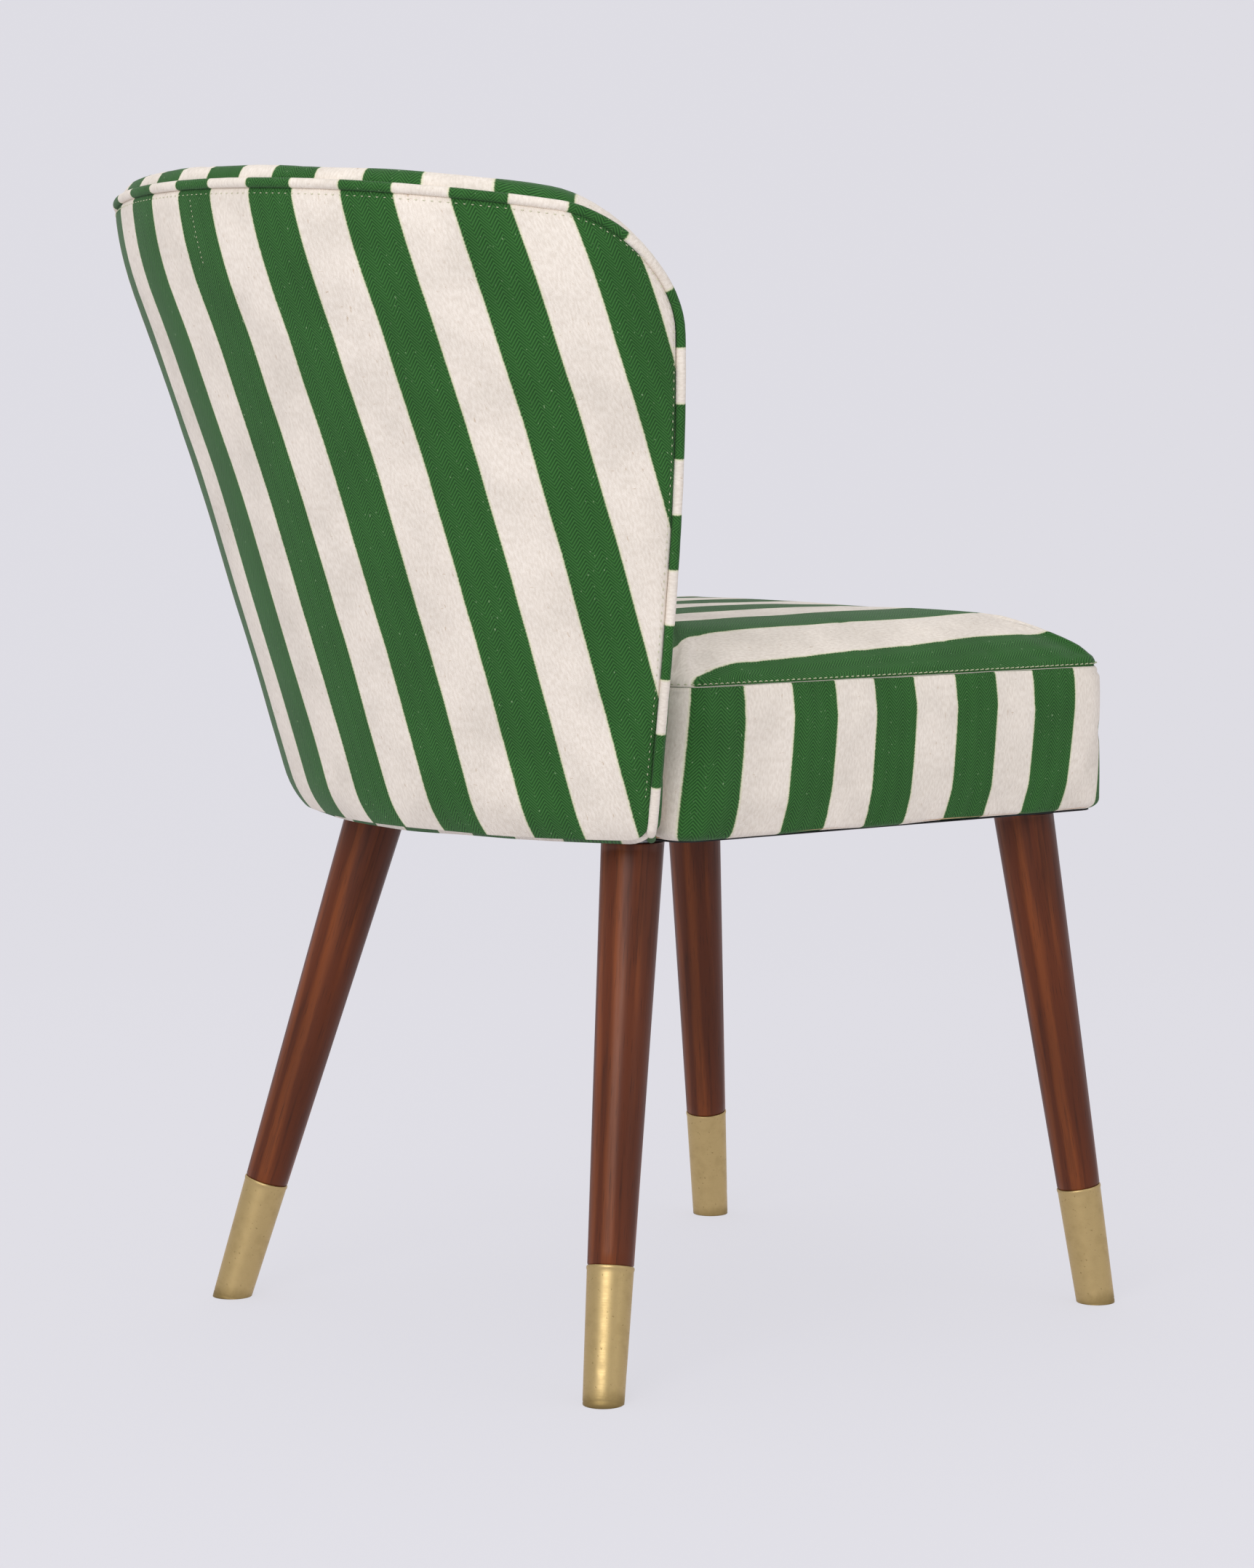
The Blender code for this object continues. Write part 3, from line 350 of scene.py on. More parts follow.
def show(piece):
    bpy.context.scene.collection.objects.link(piece)
    if piece.type == "MESH":
        piece.data.shade_smooth()
    return piece


def rest(piece, material, nodes=()):
    """Dresses a finished piece, ties it to the frame and hides the plain nodes that it stands for."""
    piece.data.materials.clear()
    piece.data.materials.append(material)
    if nodes:
        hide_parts(*nodes)
    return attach(piece, "root")


def ripple(piece, height, size, seed):
    """Soft unevenness of padding under cloth, along the surface's normal."""
    shift = Vector((seed, 2.0 * seed, 3.0 * seed))
    for vertex in piece.data.vertices:
        vertex.co += vertex.normal * height * noise.noise(vertex.co / size + shift)


def fill_out(piece, held, pressure, cap, slack):
    """Lets padded cloth swell against its sewn lines in a short cloth run, each point by no more than cap."""
    mesh = piece.data
    start = np.empty(len(mesh.vertices) * 3)
    mesh.vertices.foreach_get("co", start)
    start = start.reshape(-1, 3)
    group = piece.vertex_groups.new(name="held")
    group.add([int(i) for i in np.flatnonzero(held)], 1.0, "REPLACE")
    run = piece.modifiers.new("fill", "CLOTH")
    run.settings.quality = 5
    run.settings.mass = 0.35
    run.settings.tension_stiffness = 12.0
    run.settings.compression_stiffness = 12.0
    run.settings.shear_stiffness = 4.0
    run.settings.bending_stiffness = 0.6
    run.settings.vertex_group_mass = group.name
    run.settings.use_pressure = True
    run.settings.uniform_pressure_force = pressure
    run.settings.shrink_min = -slack
    run.settings.effector_weights.gravity = 0.0
    run.point_cache.frame_start = 1
    run.point_cache.frame_end = FILL_STEPS
    for step in range(1, FILL_STEPS + 1):
        bpy.context.scene.frame_set(step)
    shaped = piece.evaluated_get(bpy.context.evaluated_depsgraph_get()).data
    swollen = np.empty(len(start) * 3)
    shaped.vertices.foreach_get("co", swollen)
    moved = swollen.reshape(-1, 3) - start
    far = np.linalg.norm(moved, axis=1)[:, None]
    moved *= np.minimum(1.0, cap / np.maximum(far, 1e-9))
    piece.modifiers.remove(run)
    piece.vertex_groups.remove(group)
    mesh.vertices.foreach_set("co", (start + moved).ravel())
    mesh.update()
    bpy.context.scene.frame_set(1)


def tube(name, path, radius, sides):
    """A round cord along a path; fabric coordinates run along it and round it."""
    path = np.array(path, float)
    along = np.gradient(path, axis=0)
    along /= np.linalg.norm(along, axis=1)[:, None]
    walked = distance_along(path)
    radius = np.broadcast_to(radius, len(path))
    guide = np.cross(along[0], (0.0, 0.0, 1.0) if abs(along[0][2]) < 0.9 else (1.0, 0.0, 0.0))
    rings, cloth = [], []
    for place, way, reach, far in zip(path, along, radius, walked):
        guide = guide - way * (guide @ way)
        guide /= np.linalg.norm(guide)
        other = np.cross(way, guide)
        angles = np.linspace(0.0, 2 * math.pi, sides + 1)
        rings.append([place + reach * (math.cos(a) * guide + math.sin(a) * other) for a in angles[:-1]])
        cloth.append([(far, a * reach) for a in angles])
    hubs = (path[0], (0.0, 0.0)), (path[-1], (walked[-1], 0.0))
    piece = skin(name, rings, cloth, hubs, path[len(path) // 2])
    face_out(piece)
    return piece


def face_out(piece):
    work = bmesh.new()
    work.from_mesh(piece.data)
    bmesh.ops.recalc_face_normals(work, faces=work.faces)
    work.to_mesh(piece.data)
    work.free()


def stitches(name, path, normals, step, size, radius, lift):
    """A row of short thread loops lying along a path, each standing lift above the cloth."""
    path, normals = np.array(path, float), np.array(normals, float)
    walked = distance_along(path)
    middles = np.arange(step / 2, walked[-1], step)
    work = bmesh.new()
    for index, far in enumerate(middles):
        sway = noise.noise(Vector((index * 0.73, 0.0, 0.0)))
        ends = []
        for part in (-0.5, 0.0, 0.5):
            at = far + part * size
            place = np.array([np.interp(at, walked, path[:, a]) for a in range(3)])
            up = np.array([np.interp(at, walked, normals[:, a]) for a in range(3)])
            height = lift * (1.0 if part == 0.0 else -0.6) + 0.0001 * sway
            ends.append((Vector(place + up * height), Vector(up)))
        add_thread(work, ends, radius * (1.0 + 0.15 * sway))
    mesh = bpy.data.meshes.new(name)
    work.to_mesh(mesh)
    work.free()
    return show(bpy.data.objects.new(name, mesh))


def add_thread(work, ends, radius):
    """One thread loop as a six-sided spindle through its points."""
    rings = []
    for index, (place, up) in enumerate(ends):
        way = (ends[min(index + 1, len(ends) - 1)][0] - ends[max(index - 1, 0)][0]).normalized()
        side = way.cross(up).normalized()
        over = side.cross(way)
        thin = radius * (1.0 if 0 < index < len(ends) - 1 else 0.55)
        ring = [math.tau * i / 6 for i in range(6)]
        rings.append([work.verts.new(place + thin * (math.cos(a) * side + math.sin(a) * over)) for a in ring])
    for first, second in zip(rings, rings[1:]):
        for i in range(6):
            work.faces.new((first[i], first[(i + 1) % 6], second[(i + 1) % 6], second[i]))
    work.faces.new(rings[0][::-1])
    work.faces.new(rings[-1])


# ---- materials ----


def add(tree, kind, links=None, **settings):
    """Adds a node with its settings; links gives its inputs as plain values or as other nodes' sockets."""
    made = tree.nodes.new(kind)
    for key, value in settings.items():
        setattr(made, key, value)
    for key, value in (links or {}).items():
        if isinstance(value, bpy.types.NodeSocket):
            tree.links.new(value, made.inputs[key])
        else:
            made.inputs[key].default_value = value
    return made


def maths(tree, operation, *values):
    links = dict(enumerate(values))
    return add(tree, "ShaderNodeMath", links, operation=operation).outputs[0]


def blend(tree, share, first, second, how="MIX"):
    """Mixes two colours, each a socket or linear values, by a share."""
    made = add(tree, "ShaderNodeMix", {0: share}, data_type="RGBA", blend_type=how)
    for index, value in ((6, first), (7, second)):
        if isinstance(value, bpy.types.NodeSocket):
            tree.links.new(value, made.inputs[index])
        else:
            made.inputs[index].default_value = (*value[:3], 1.0)
    return made.outputs[2]


def limits(tree, value, low, high, out_low=0.0, out_high=1.0):
    links = {"Value": value, "From Min": low, "From Max": high, "To Min": out_low, "To Max": out_high}
    return add(tree, "ShaderNodeMapRange", links, interpolation_type="SMOOTHSTEP").outputs["Result"]


def speckle(tree, place, scale, detail=2.0, roughness=0.5):
    links = {"Vector": place, "Scale": scale, "Detail": detail, "Roughness": roughness}
    return add(tree, "ShaderNodeTexNoise", links).outputs["Fac"]


def stretched(tree, place, scale):
    return add(tree, "ShaderNodeVectorMath", {0: place, 1: scale}, operation="MULTIPLY").outputs[0]


def roughen(tree, shader, height, strength, distance):
    """Gives a surface fine relief from a height pattern."""
    bump = add(tree, "ShaderNodeBump", {"Strength": strength, "Distance": distance, "Height": height})
    tree.links.new(bump.outputs["Normal"], shader.inputs["Normal"])


def new_material(name, slot_colour):
    made = bpy.data.materials.new(name)
    made.use_nodes = True
    made.diffuse_color = (*slot_colour, 1.0)
    return made, made.node_tree, made.node_tree.nodes["Principled BSDF"]


def striped_cloth(sizes, colours):
    """Cotton and linen upholstery cloth, yarn-dyed and woven.

    The green stripes are herringbone twill, whose columns catch the light by turns. The cream stripes are a
    plain linen weave with tan slubs. Twill and thread are drawn a little coarser than the real half
    millimetre, so that they show.
    """
    made, tree, shader = new_material("striped_cotton_linen_woven", colours.green)
    place = add(tree, "ShaderNodeUVMap", uv_map="Cloth").outputs["UV"]
    split = add(tree, "ShaderNodeSeparateXYZ", {0: place})
    across, along = split.outputs["X"], split.outputs["Y"]
    fray = maths(tree, "SUBTRACT", speckle(tree, stretched(tree, place, (40.0, 900.0, 1.0)), 1.0), 0.5)
    wander = maths(tree, "SUBTRACT", speckle(tree, stretched(tree, place, (3.0, 14.0, 1.0)), 1.0), 0.5)
    moved = maths(tree, "MULTIPLY_ADD", fray, 0.0011, across)
    moved = maths(tree, "MULTIPLY_ADD", wander, 0.0022, moved)
    half = sizes.stripe / 2
    wave = maths(tree, "PINGPONG", maths(tree, "ADD", moved, half), sizes.stripe)
    inside = maths(tree, "SUBTRACT", wave, half)
    green = limits(tree, inside, -0.0002, 0.0002)
    edge = limits(tree, maths(tree, "ABSOLUTE", maths(tree, "ADD", inside, 0.0003)), 0.0011, 0.0004)

    zigzag = maths(tree, "PINGPONG", across, sizes.herringbone)
    slanted = maths(tree, "DIVIDE", maths(tree, "MULTIPLY_ADD", zigzag, 1.15, along), sizes.twill / math.tau)
    twill = maths(tree, "MULTIPLY_ADD", maths(tree, "SINE", slanted), 0.5, 0.5)
    turns = maths(tree, "PINGPONG", maths(tree, "DIVIDE", across, sizes.herringbone), 1.0)
    column = limits(tree, turns, 0.45, 0.55)
    yarn = speckle(tree, stretched(tree, place, (700.0, 260.0, 1.0)), 1.0, 3.0)
    greens = blend(tree, twill, colours.green_deep, colours.green)
    greens = blend(tree, maths(tree, "MULTIPLY", column, 0.10), greens, colours.green)
    pale = limits(tree, speckle(tree, stretched(tree, place, (520.0, 380.0, 1.0)), 1.0, 1.0), 0.70, 0.80)
    greens = blend(tree, maths(tree, "MULTIPLY", pale, 0.55), greens, linear("#9DB98C"))

    warp = maths(tree, "SINE", maths(tree, "DIVIDE", across, sizes.thread / math.tau))
    weft = maths(tree, "SINE", maths(tree, "DIVIDE", along, sizes.thread / math.tau))
    plain = maths(tree, "MULTIPLY_ADD", maths(tree, "MULTIPLY", warp, weft), 0.5, 0.5)
    creams = blend(tree, limits(tree, yarn, 0.32, 0.68, 0.0, 0.45), colours.cream, linear("#D2C5B6"))
    flecks = speckle(tree, stretched(tree, place, (420.0, 130.0, 1.0)), 1.0, 2.0, 0.6)
    cross_flecks = speckle(tree, stretched(tree, place, (150.0, 520.0, 1.0)), 1.0, 2.0, 0.6)
    tan = maths(tree, "MAXIMUM", limits(tree, flecks, 0.66, 0.76), limits(tree, cross_flecks, 0.68, 0.78))
    creams = blend(tree, maths(tree, "MULTIPLY", tan, 0.55), creams, colours.slub)

    base = blend(tree, green, creams, greens)
    base = blend(tree, maths(tree, "MULTIPLY", edge, 0.45), base, colours.selvedge)
    worn = speckle(tree, place, 22.0, 3.0)
    base = blend(tree, limits(tree, worn, 0.3, 0.75, 0.0, 0.16), base, (0.16, 0.15, 0.12), "MULTIPLY")
    tree.links.new(base, shader.inputs["Base Color"])

    relief = add(tree, "ShaderNodeMix", {0: green, 2: plain, 3: twill}, data_type="FLOAT").outputs[0]
    relief = maths(tree, "MULTIPLY_ADD", yarn, 0.7, relief)
    relief = maths(tree, "MULTIPLY_ADD", tan, 0.5, relief)
    roughen(tree, shader, relief, 0.5, 0.00022)
    tree.links.new(limits(tree, yarn, 0.3, 0.7, 0.80, 0.95), shader.inputs["Roughness"])
    shader.inputs["Specular IOR Level"].default_value = 0.22
    shader.inputs["Sheen Weight"].default_value = 0.10
    shader.inputs["Sheen Roughness"].default_value = 0.45
    return made


def cotton_thread(name, code):
    """Mercerised cotton sewing thread, twisted: a soft shine and fine slanting plies."""
    made, tree, shader = new_material(name, linear(code))
    place = add(tree, "ShaderNodeTexCoord").outputs["Object"]
    ply = speckle(tree, place, 1800.0, 2.0)
    base = blend(tree, limits(tree, ply, 0.35, 0.65), [c * 0.7 for c in linear(code)], linear(code))
    tree.links.new(base, shader.inputs["Base Color"])
    roughen(tree, shader, ply, 0.4, 0.0001)
    tree.links.new(limits(tree, ply, 0.3, 0.7, 0.55, 0.75), shader.inputs["Roughness"])
    return made


def stained_wood(colours):
    """Hardwood turned, stained red-brown and lacquered satin: dark streaks under a thin gloss."""
    made, tree, shader = new_material("hardwood_stained_lacquered", colours.wood)
    place = add(tree, "ShaderNodeTexCoord").outputs["Object"]
    grain = stretched(tree, place, (1.0, 1.0, 0.075))
    drift = speckle(tree, grain, 34.0, 3.0, 0.55)
    across = add(tree, "ShaderNodeSeparateXYZ", {0: grain}).outputs["X"]
    tilted = maths(tree, "MULTIPLY_ADD", drift, 0.030, across)
    rings = maths(tree, "SINE", maths(tree, "DIVIDE", tilted, 0.0160 / math.tau))
    rings = maths(tree, "MULTIPLY_ADD", rings, 0.5, 0.5)
    streak = speckle(tree, stretched(tree, place, (1.0, 1.0, 0.035)), 210.0, 4.0, 0.62)
    pores = speckle(tree, stretched(tree, place, (1.0, 1.0, 0.03)), 1500.0, 2.0)
    base = blend(tree, limits(tree, rings, 0.10, 0.95, 0.0, 0.40), colours.wood, colours.wood_light)
    base = blend(tree, limits(tree, streak, 0.50, 0.78, 0.0, 0.55), base, colours.wood_dark)
    base = blend(tree, limits(tree, pores, 0.58, 0.72, 0.0, 0.45), base, colours.wood_dark)
    broad = speckle(tree, stretched(tree, place, (1.0, 1.0, 0.2)), 26.0, 2.0)
    base = blend(tree, limits(tree, broad, 0.35, 0.70, 0.0, 0.45), base, colours.wood_dark)
    tree.links.new(base, shader.inputs["Base Color"])
    roughen(tree, shader, pores, 0.25, 0.0001)
    tree.links.new(limits(tree, streak, 0.3, 0.7, 0.34, 0.50), shader.inputs["Roughness"])
    shader.inputs["Specular IOR Level"].default_value = 0.22
    shader.inputs["Coat Weight"].default_value = 0.06
    shader.inputs["Coat Roughness"].default_value = 0.30
    return made


def brushed_brass(colours):
    """Brass drawn to a cone and brushed round: fine turning lines, a darker sole and small dents' tarnish."""
    made, tree, shader = new_material("brass_brushed_aged", colours.brass)
    place = add(tree, "ShaderNodeTexCoord").outputs["Object"]
    height = add(tree, "ShaderNodeSeparateXYZ", {0: place}).outputs["Z"]
    lines = speckle(tree, stretched(tree, place, (1.0, 1.0, 30.0)), 130.0, 3.0)
    cloud = speckle(tree, place, 90.0, 4.0, 0.6)
    sole = limits(tree, maths(tree, "MULTIPLY_ADD", cloud, 0.012, height), 0.018, 0.004)
    spots = limits(tree, speckle(tree, place, 420.0, 2.0), 0.66, 0.74)
    aged = maths(tree, "MAXIMUM", maths(tree, "MULTIPLY", sole, 0.7), maths(tree, "MULTIPLY", spots, 0.5))
    aged = maths(tree, "MAXIMUM", aged, limits(tree, cloud, 0.45, 0.75, 0.0, 0.16))
    base = blend(tree, aged, colours.brass, colours.brass_aged)
    tree.links.new(base, shader.inputs["Base Color"])
    relief = maths(tree, "MULTIPLY_ADD", spots, -1.5, lines)
    roughen(tree, shader, relief, 0.35, 0.00008)
    rough = maths(tree, "MULTIPLY_ADD", aged, 0.22, limits(tree, lines, 0.3, 0.7, 0.38, 0.50))
    tree.links.new(rough, shader.inputs["Roughness"])
    shader.inputs["Metallic"].default_value = 1.0
    return made


def planed_timber(name, code, dark, spacing):
    """Pale unfinished wood, planed or peeled: straight grain and a dry, matt surface."""
    made, tree, shader = new_material(name, linear(code))
    place = add(tree, "ShaderNodeTexCoord").outputs["Object"]
    drift = speckle(tree, stretched(tree, place, (0.12, 1.0, 1.0)), 40.0, 3.0)
    rise = add(tree, "ShaderNodeSeparateXYZ", {0: place}).outputs["Z"]
    tilted = maths(tree, "MULTIPLY_ADD", drift, 0.02, rise)
    rings = maths(tree, "SINE", maths(tree, "DIVIDE", tilted, spacing / math.tau))
    fibre = speckle(tree, stretched(tree, place, (0.05, 1.0, 1.0)), 900.0, 2.0)
    base = blend(tree, limits(tree, rings, -0.6, 1.0, 0.0, 0.6), linear(code), linear(dark))
    base = blend(tree, limits(tree, fibre, 0.5, 0.7, 0.0, 0.4), base, linear(dark))
    tree.links.new(base, shader.inputs["Base Color"])
    roughen(tree, shader, fibre, 0.3, 0.0001)
    tree.links.new(limits(tree, fibre, 0.3, 0.7, 0.65, 0.85), shader.inputs["Roughness"])
    return made


def zinc_plate():
    """Mild steel, zinc plated: a bluish grey metal with a fine crystalline mottle."""
    made, tree, shader = new_material("steel_zinc_plated", linear("#B4B8BE"))
    place = add(tree, "ShaderNodeTexCoord").outputs["Object"]
    mottle = speckle(tree, place, 600.0, 3.0)
    base = blend(tree, limits(tree, mottle, 0.35, 0.65), linear("#9BA0A6"), linear("#C6CACD"))
    tree.links.new(base, shader.inputs["Base Color"])
    tree.links.new(limits(tree, mottle, 0.3, 0.7, 0.28, 0.46), shader.inputs["Roughness"])
    shader.inputs["Metallic"].default_value = 1.0
    return made


def dust_lining():
    """Black polypropylene lining, spun and point-bonded: a dull cloth with a grid of pressed dots."""
    made, tree, shader = new_material("polypropylene_lining_bonded", linear("#1B1B1C"))
    place = add(tree, "ShaderNodeTexCoord").outputs["Object"]
    links = {"Vector": place, "Scale": 480.0, "Randomness": 0.15}  # a dot every 2 mm or so
    dots = add(tree, "ShaderNodeTexVoronoi", links).outputs["Distance"]
    fibre = speckle(tree, place, 900.0, 3.0)
    base = blend(tree, limits(tree, dots, 0.15, 0.35), linear("#101011"), linear("#232325"))
    base = blend(tree, limits(tree, fibre, 0.5, 0.75, 0.0, 0.4), base, linear("#3A3A3C"))
    tree.links.new(base, shader.inputs["Base Color"])
    relief = maths(tree, "MULTIPLY_ADD", fibre, 0.5, dots)
    roughen(tree, shader, relief, 0.5, 0.0002)
    tree.links.new(limits(tree, fibre, 0.3, 0.7, 0.75, 0.95), shader.inputs["Roughness"])
    return made


def cloth_material():
    found = bpy.data.materials.get("striped_cotton_linen_woven")
    chair = bpy.context.scene
    return found or striped_cloth(chair.chair_sizes, chair.chair_colours)


# ---- seat ----


def seat_outline(inset):
    """Plan of the seat moved in by inset, as (x, y)."""
    corner, bow = SEAT_REAR_CORNER, SEAT_REAR_BOW
    reach = SEAT_FRONT_REACH + corner
    taper = (SEAT_REAR_HALF - SEAT_FRONT_HALF) / reach
    slant = inset * math.hypot(1.0, taper)
    front, back = -SEAT_FRONT_REACH + inset, corner - inset
    low = np.array((SEAT_FRONT_HALF + taper * inset - slant, front))
    high = np.array((SEAT_REAR_HALF - taper * inset - slant, back))
    radii = [max(r - inset, 0.3 * r) for r in SEAT_CORNERS]
    ring = rounded_ring(np.array((0.0, front)), low, high, np.array((0.0, back)), radii, SEAT_COUNTS)
    share = (ring[:, 1] + SEAT_FRONT_REACH) / reach
    across = np.abs(ring[:, 0]) / (SEAT_REAR_HALF * SEAT_BOW_SHARE)
    ring[:, 1] += share * bow * np.maximum(1.0 - across**2, 0.0)
    ring[:, 1] -= (1.0 - share) * SEAT_FRONT_BOW * (1.0 - (ring[:, 0] / SEAT_FRONT_HALF) ** 2)
    ring[:, 1] += MIDDLE
    return ring


def crown(inset):
    """Height of the top above the seam at a distance in from it."""
    near = 1.0 - np.exp(-inset / (0.42 * SEAT_EDGE_ROLL))
    return SEAT_START * (0.80 * near + 0.20 * np.sin(np.minimum(inset / 0.18, 1.0) * math.pi / 2))


def cloth_excess(inset):
    """How much longer the cloth is than its plan, from a distance in from the seam to the middle."""
    steps = np.linspace(0.0, 0.20, 401)
    slope = np.gradient(crown(steps), steps)
    extra = (np.hypot(1.0, slope) - 1.0) * (steps[1] - steps[0])
    return np.interp(inset, steps, np.cumsum(extra[::-1])[::-1])


def seat_half(y):
    share = (y - MIDDLE + SEAT_FRONT_REACH) / (SEAT_FRONT_REACH + SEAT_REAR_CORNER)
    return SEAT_FRONT_HALF + (SEAT_REAR_HALF - SEAT_FRONT_HALF) * np.clip(share, 0.0, 1.0)


def band_swell(height, bulge):
    """Outward swell of the side band at a share of its height, pulled in at the seam."""
    belly = bulge * (0.62 + 0.38 * np.sin(math.pi * np.clip(height, 0.0, 1.0)))
    return belly - 0.0022 * np.exp(-(1.0 - height) / 0.035)


def seat_top_cloth(ring):
    """Fabric coordinates of the seat's top: stripes run front to back, a green one along each seam."""
    half = seat_half(ring[:, 1])
    across = np.abs(ring[:, 0])
    far = across + cloth_excess(half - across)
    tucked = smooth((ring[:, 1] - MIDDLE - 0.09) / 0.07) * (across / half) ** 3
    far = far - SEAT_REAR_TUCK * tucked
    edge = SEAT_FRONT_HALF + cloth_excess(0.0) - 0.0012
    return np.stack([edge + np.sign(ring[:, 0]) * far, ring[:, 1]], axis=1)


def seat_band_cloth(ring, height, stripe):
    """Fabric coordinates of the side band: one strip sewn round the seat, leaning a little towards the back.

    Distances along it are measured back from the front corner.
    """
    closed = np.concatenate([ring, ring[:1]])
    walked = distance_along(closed)
    front_side = walked[:40][np.argmin(np.abs(ring[:40, 1] - MIDDLE + 0.2215) + (ring[:40, 0] < 0.15))]
    back = (walked[-1] - front_side) - walked
    lean = SEAT_LEAN * (1.0 + 1.1 * np.exp(-np.abs(back) / 0.035))
    drawn = back + np.interp(back, *SEAT_DRAW)  # the strip was sewn on a little tighter towards the rear
    return np.stack([drawn + stripe + lean * (height - (SEAM - HEM)), np.full(len(closed), height)], axis=1)


class DININGCHAIR_OT_seat(bpy.types.Operator):
    """Cover the seat: a crowned top sewn to a side band that swells and rounds under at the hem"""

    bl_idname = "dining_chair.seat"
    bl_label = "Seat"

    def execute(self, context):
        sizes = context.scene.chair_sizes
        edge = seat_outline(0.0)
        middle = edge.mean(axis=0)
        rings, cloth, held = [], [], []

        def row(ring, z, place, is_held=False):
            rings.append(np.concatenate([ring, np.broadcast_to(z, len(ring))[:, None]], axis=1))
            cloth.append(place)
            held.extend([is_held] * len(ring))

        tall = SEAM - HEM
        for inset in (0.060, 0.030, 0.016):
            row(seat_outline(inset), HEM + 0.0004, seat_band_cloth(edge, -inset, sizes.stripe), True)
        for turn in np.linspace(0.0, math.pi / 2, 7):
            inset = HEM_RADIUS * (1.0 - math.sin(turn)) - band_swell(0.1, sizes.bulge) * math.sin(turn)
            height = HEM_RADIUS * (1.0 - math.cos(turn))
            row(seat_outline(inset), HEM + height, seat_band_cloth(edge, height, sizes.stripe), turn < 0.8)
        for height in np.linspace(HEM_RADIUS + 0.004, tall - 0.0075, 17):
            out = band_swell(height / tall, sizes.bulge)
            row(seat_outline(-out), HEM + height, seat_band_cloth(edge, height, sizes.stripe))
        for below, out in ((0.0048, 0.0004), (0.0028, 0.0004), (0.0014, -0.0003), (0.0006, -0.0014)):
            ring = seat_outline(-out)
            row(ring, SEAM - below, seat_band_cloth(edge, tall - below, sizes.stripe), below < 0.002)
        seam = len(rings)
        lip = ((0.0022, 0.0002), (0.0014, 0.0010), (0.0010, SEAM_LIP), (0.0016, 0.0042), (0.0030, 0.0066))
        for inset, above in lip:
            ring = seat_outline(inset)
            row(ring, SEAM + above, seat_top_cloth(ring), above < 0.0015)
        for inset in (0.0055, 0.0085, *INWARD):
            ring = seat_outline(inset)
            row(ring, SEAM + SEAM_LIP + crown(inset), seat_top_cloth(ring))
        last = seat_outline(INWARD[-1])
        for share in TO_MIDDLE:
            ring = middle + (last - middle) * share
            inset = INWARD[-1] + (1.0 - share) * 0.10
            row(ring, SEAM + SEAM_LIP + crown(inset), seat_top_cloth(ring))
        for index in range(seam, len(cloth)):
            cloth[index] = np.concatenate([cloth[index], cloth[index][:1]])
        peak = (middle[0], middle[1], SEAM + SEAM_LIP + float(crown(0.19)))
        under = (middle[0], middle[1], HEM + 0.0004)
        hubs = (under, (0.0, 0.0)), (peak, seat_top_cloth(np.array([middle]))[0])
        piece = skin("seat_upholstery", rings, cloth, hubs, (middle[0], middle[1], HEM + tall / 2))
        fill_out(piece, np.array(held + [True, False]), 2.5, 0.0028, 0.004)
        ripple(piece, sizes.slack, 0.055, 3.1)
        rest(piece, cloth_material(), ("seat_top_cover", "seat_border", "seat_foam"))
        self.topstitch(sizes)
        return {"FINISHED"}

    def topstitch(self, sizes):
        """The row of stitches that closes the seam, sewn through the lower edge of the top."""
        ring = seat_outline(0.0012)
        path = [(x, y, SEAM + 0.0016) for x, y in np.concatenate([ring, ring[:1]])]
        outward = ring - ring.mean(axis=0)
        outward = outward / np.linalg.norm(outward, axis=1)[:, None]
        normals = [(x, y, 0.35) for x, y in np.concatenate([outward, outward[:1]])]
        row = stitches("seat_topstitch", path, normals, sizes.stitch_step, sizes.stitch, 0.00042, 0.0010)
        rest(row, cotton_thread("cotton_thread_pale_twisted", "#C3C7A2"))


# ---- back ----


def back_cloth_across(arc):
    """Distance across the sitter's side of the back, whose cloth is eased round the tighter curve."""
    return np.sign(arc) * np.interp(np.abs(arc), *INSIDE_CLOTH)


def edge_roll(turn):
    """One ring round the padded edge: turn runs 0 at the piping to pi on the sitter's side."""
    normals = shield_normals()
    start = ROLL_START + outside_turn(shield(0.0))
    upward = np.clip(normals[:, 1], 0.0, 1.0)
    downward = np.clip(-normals[:, 1], 0.0, 1.0)
    reach = ROLL_SIDE + (ROLL_TOP - ROLL_SIDE) * upward - ROLL_SIDE * downward
    back_in = ROLL_RETURN * (1.0 - math.cos(turn)) / 2
    depth = start + (EDGE_DEPTH - start) * (1.0 - math.cos(turn)) / 2
    ring = shield(back_in) + normals * (reach * math.sin(turn))[:, None]
    return ring, depth


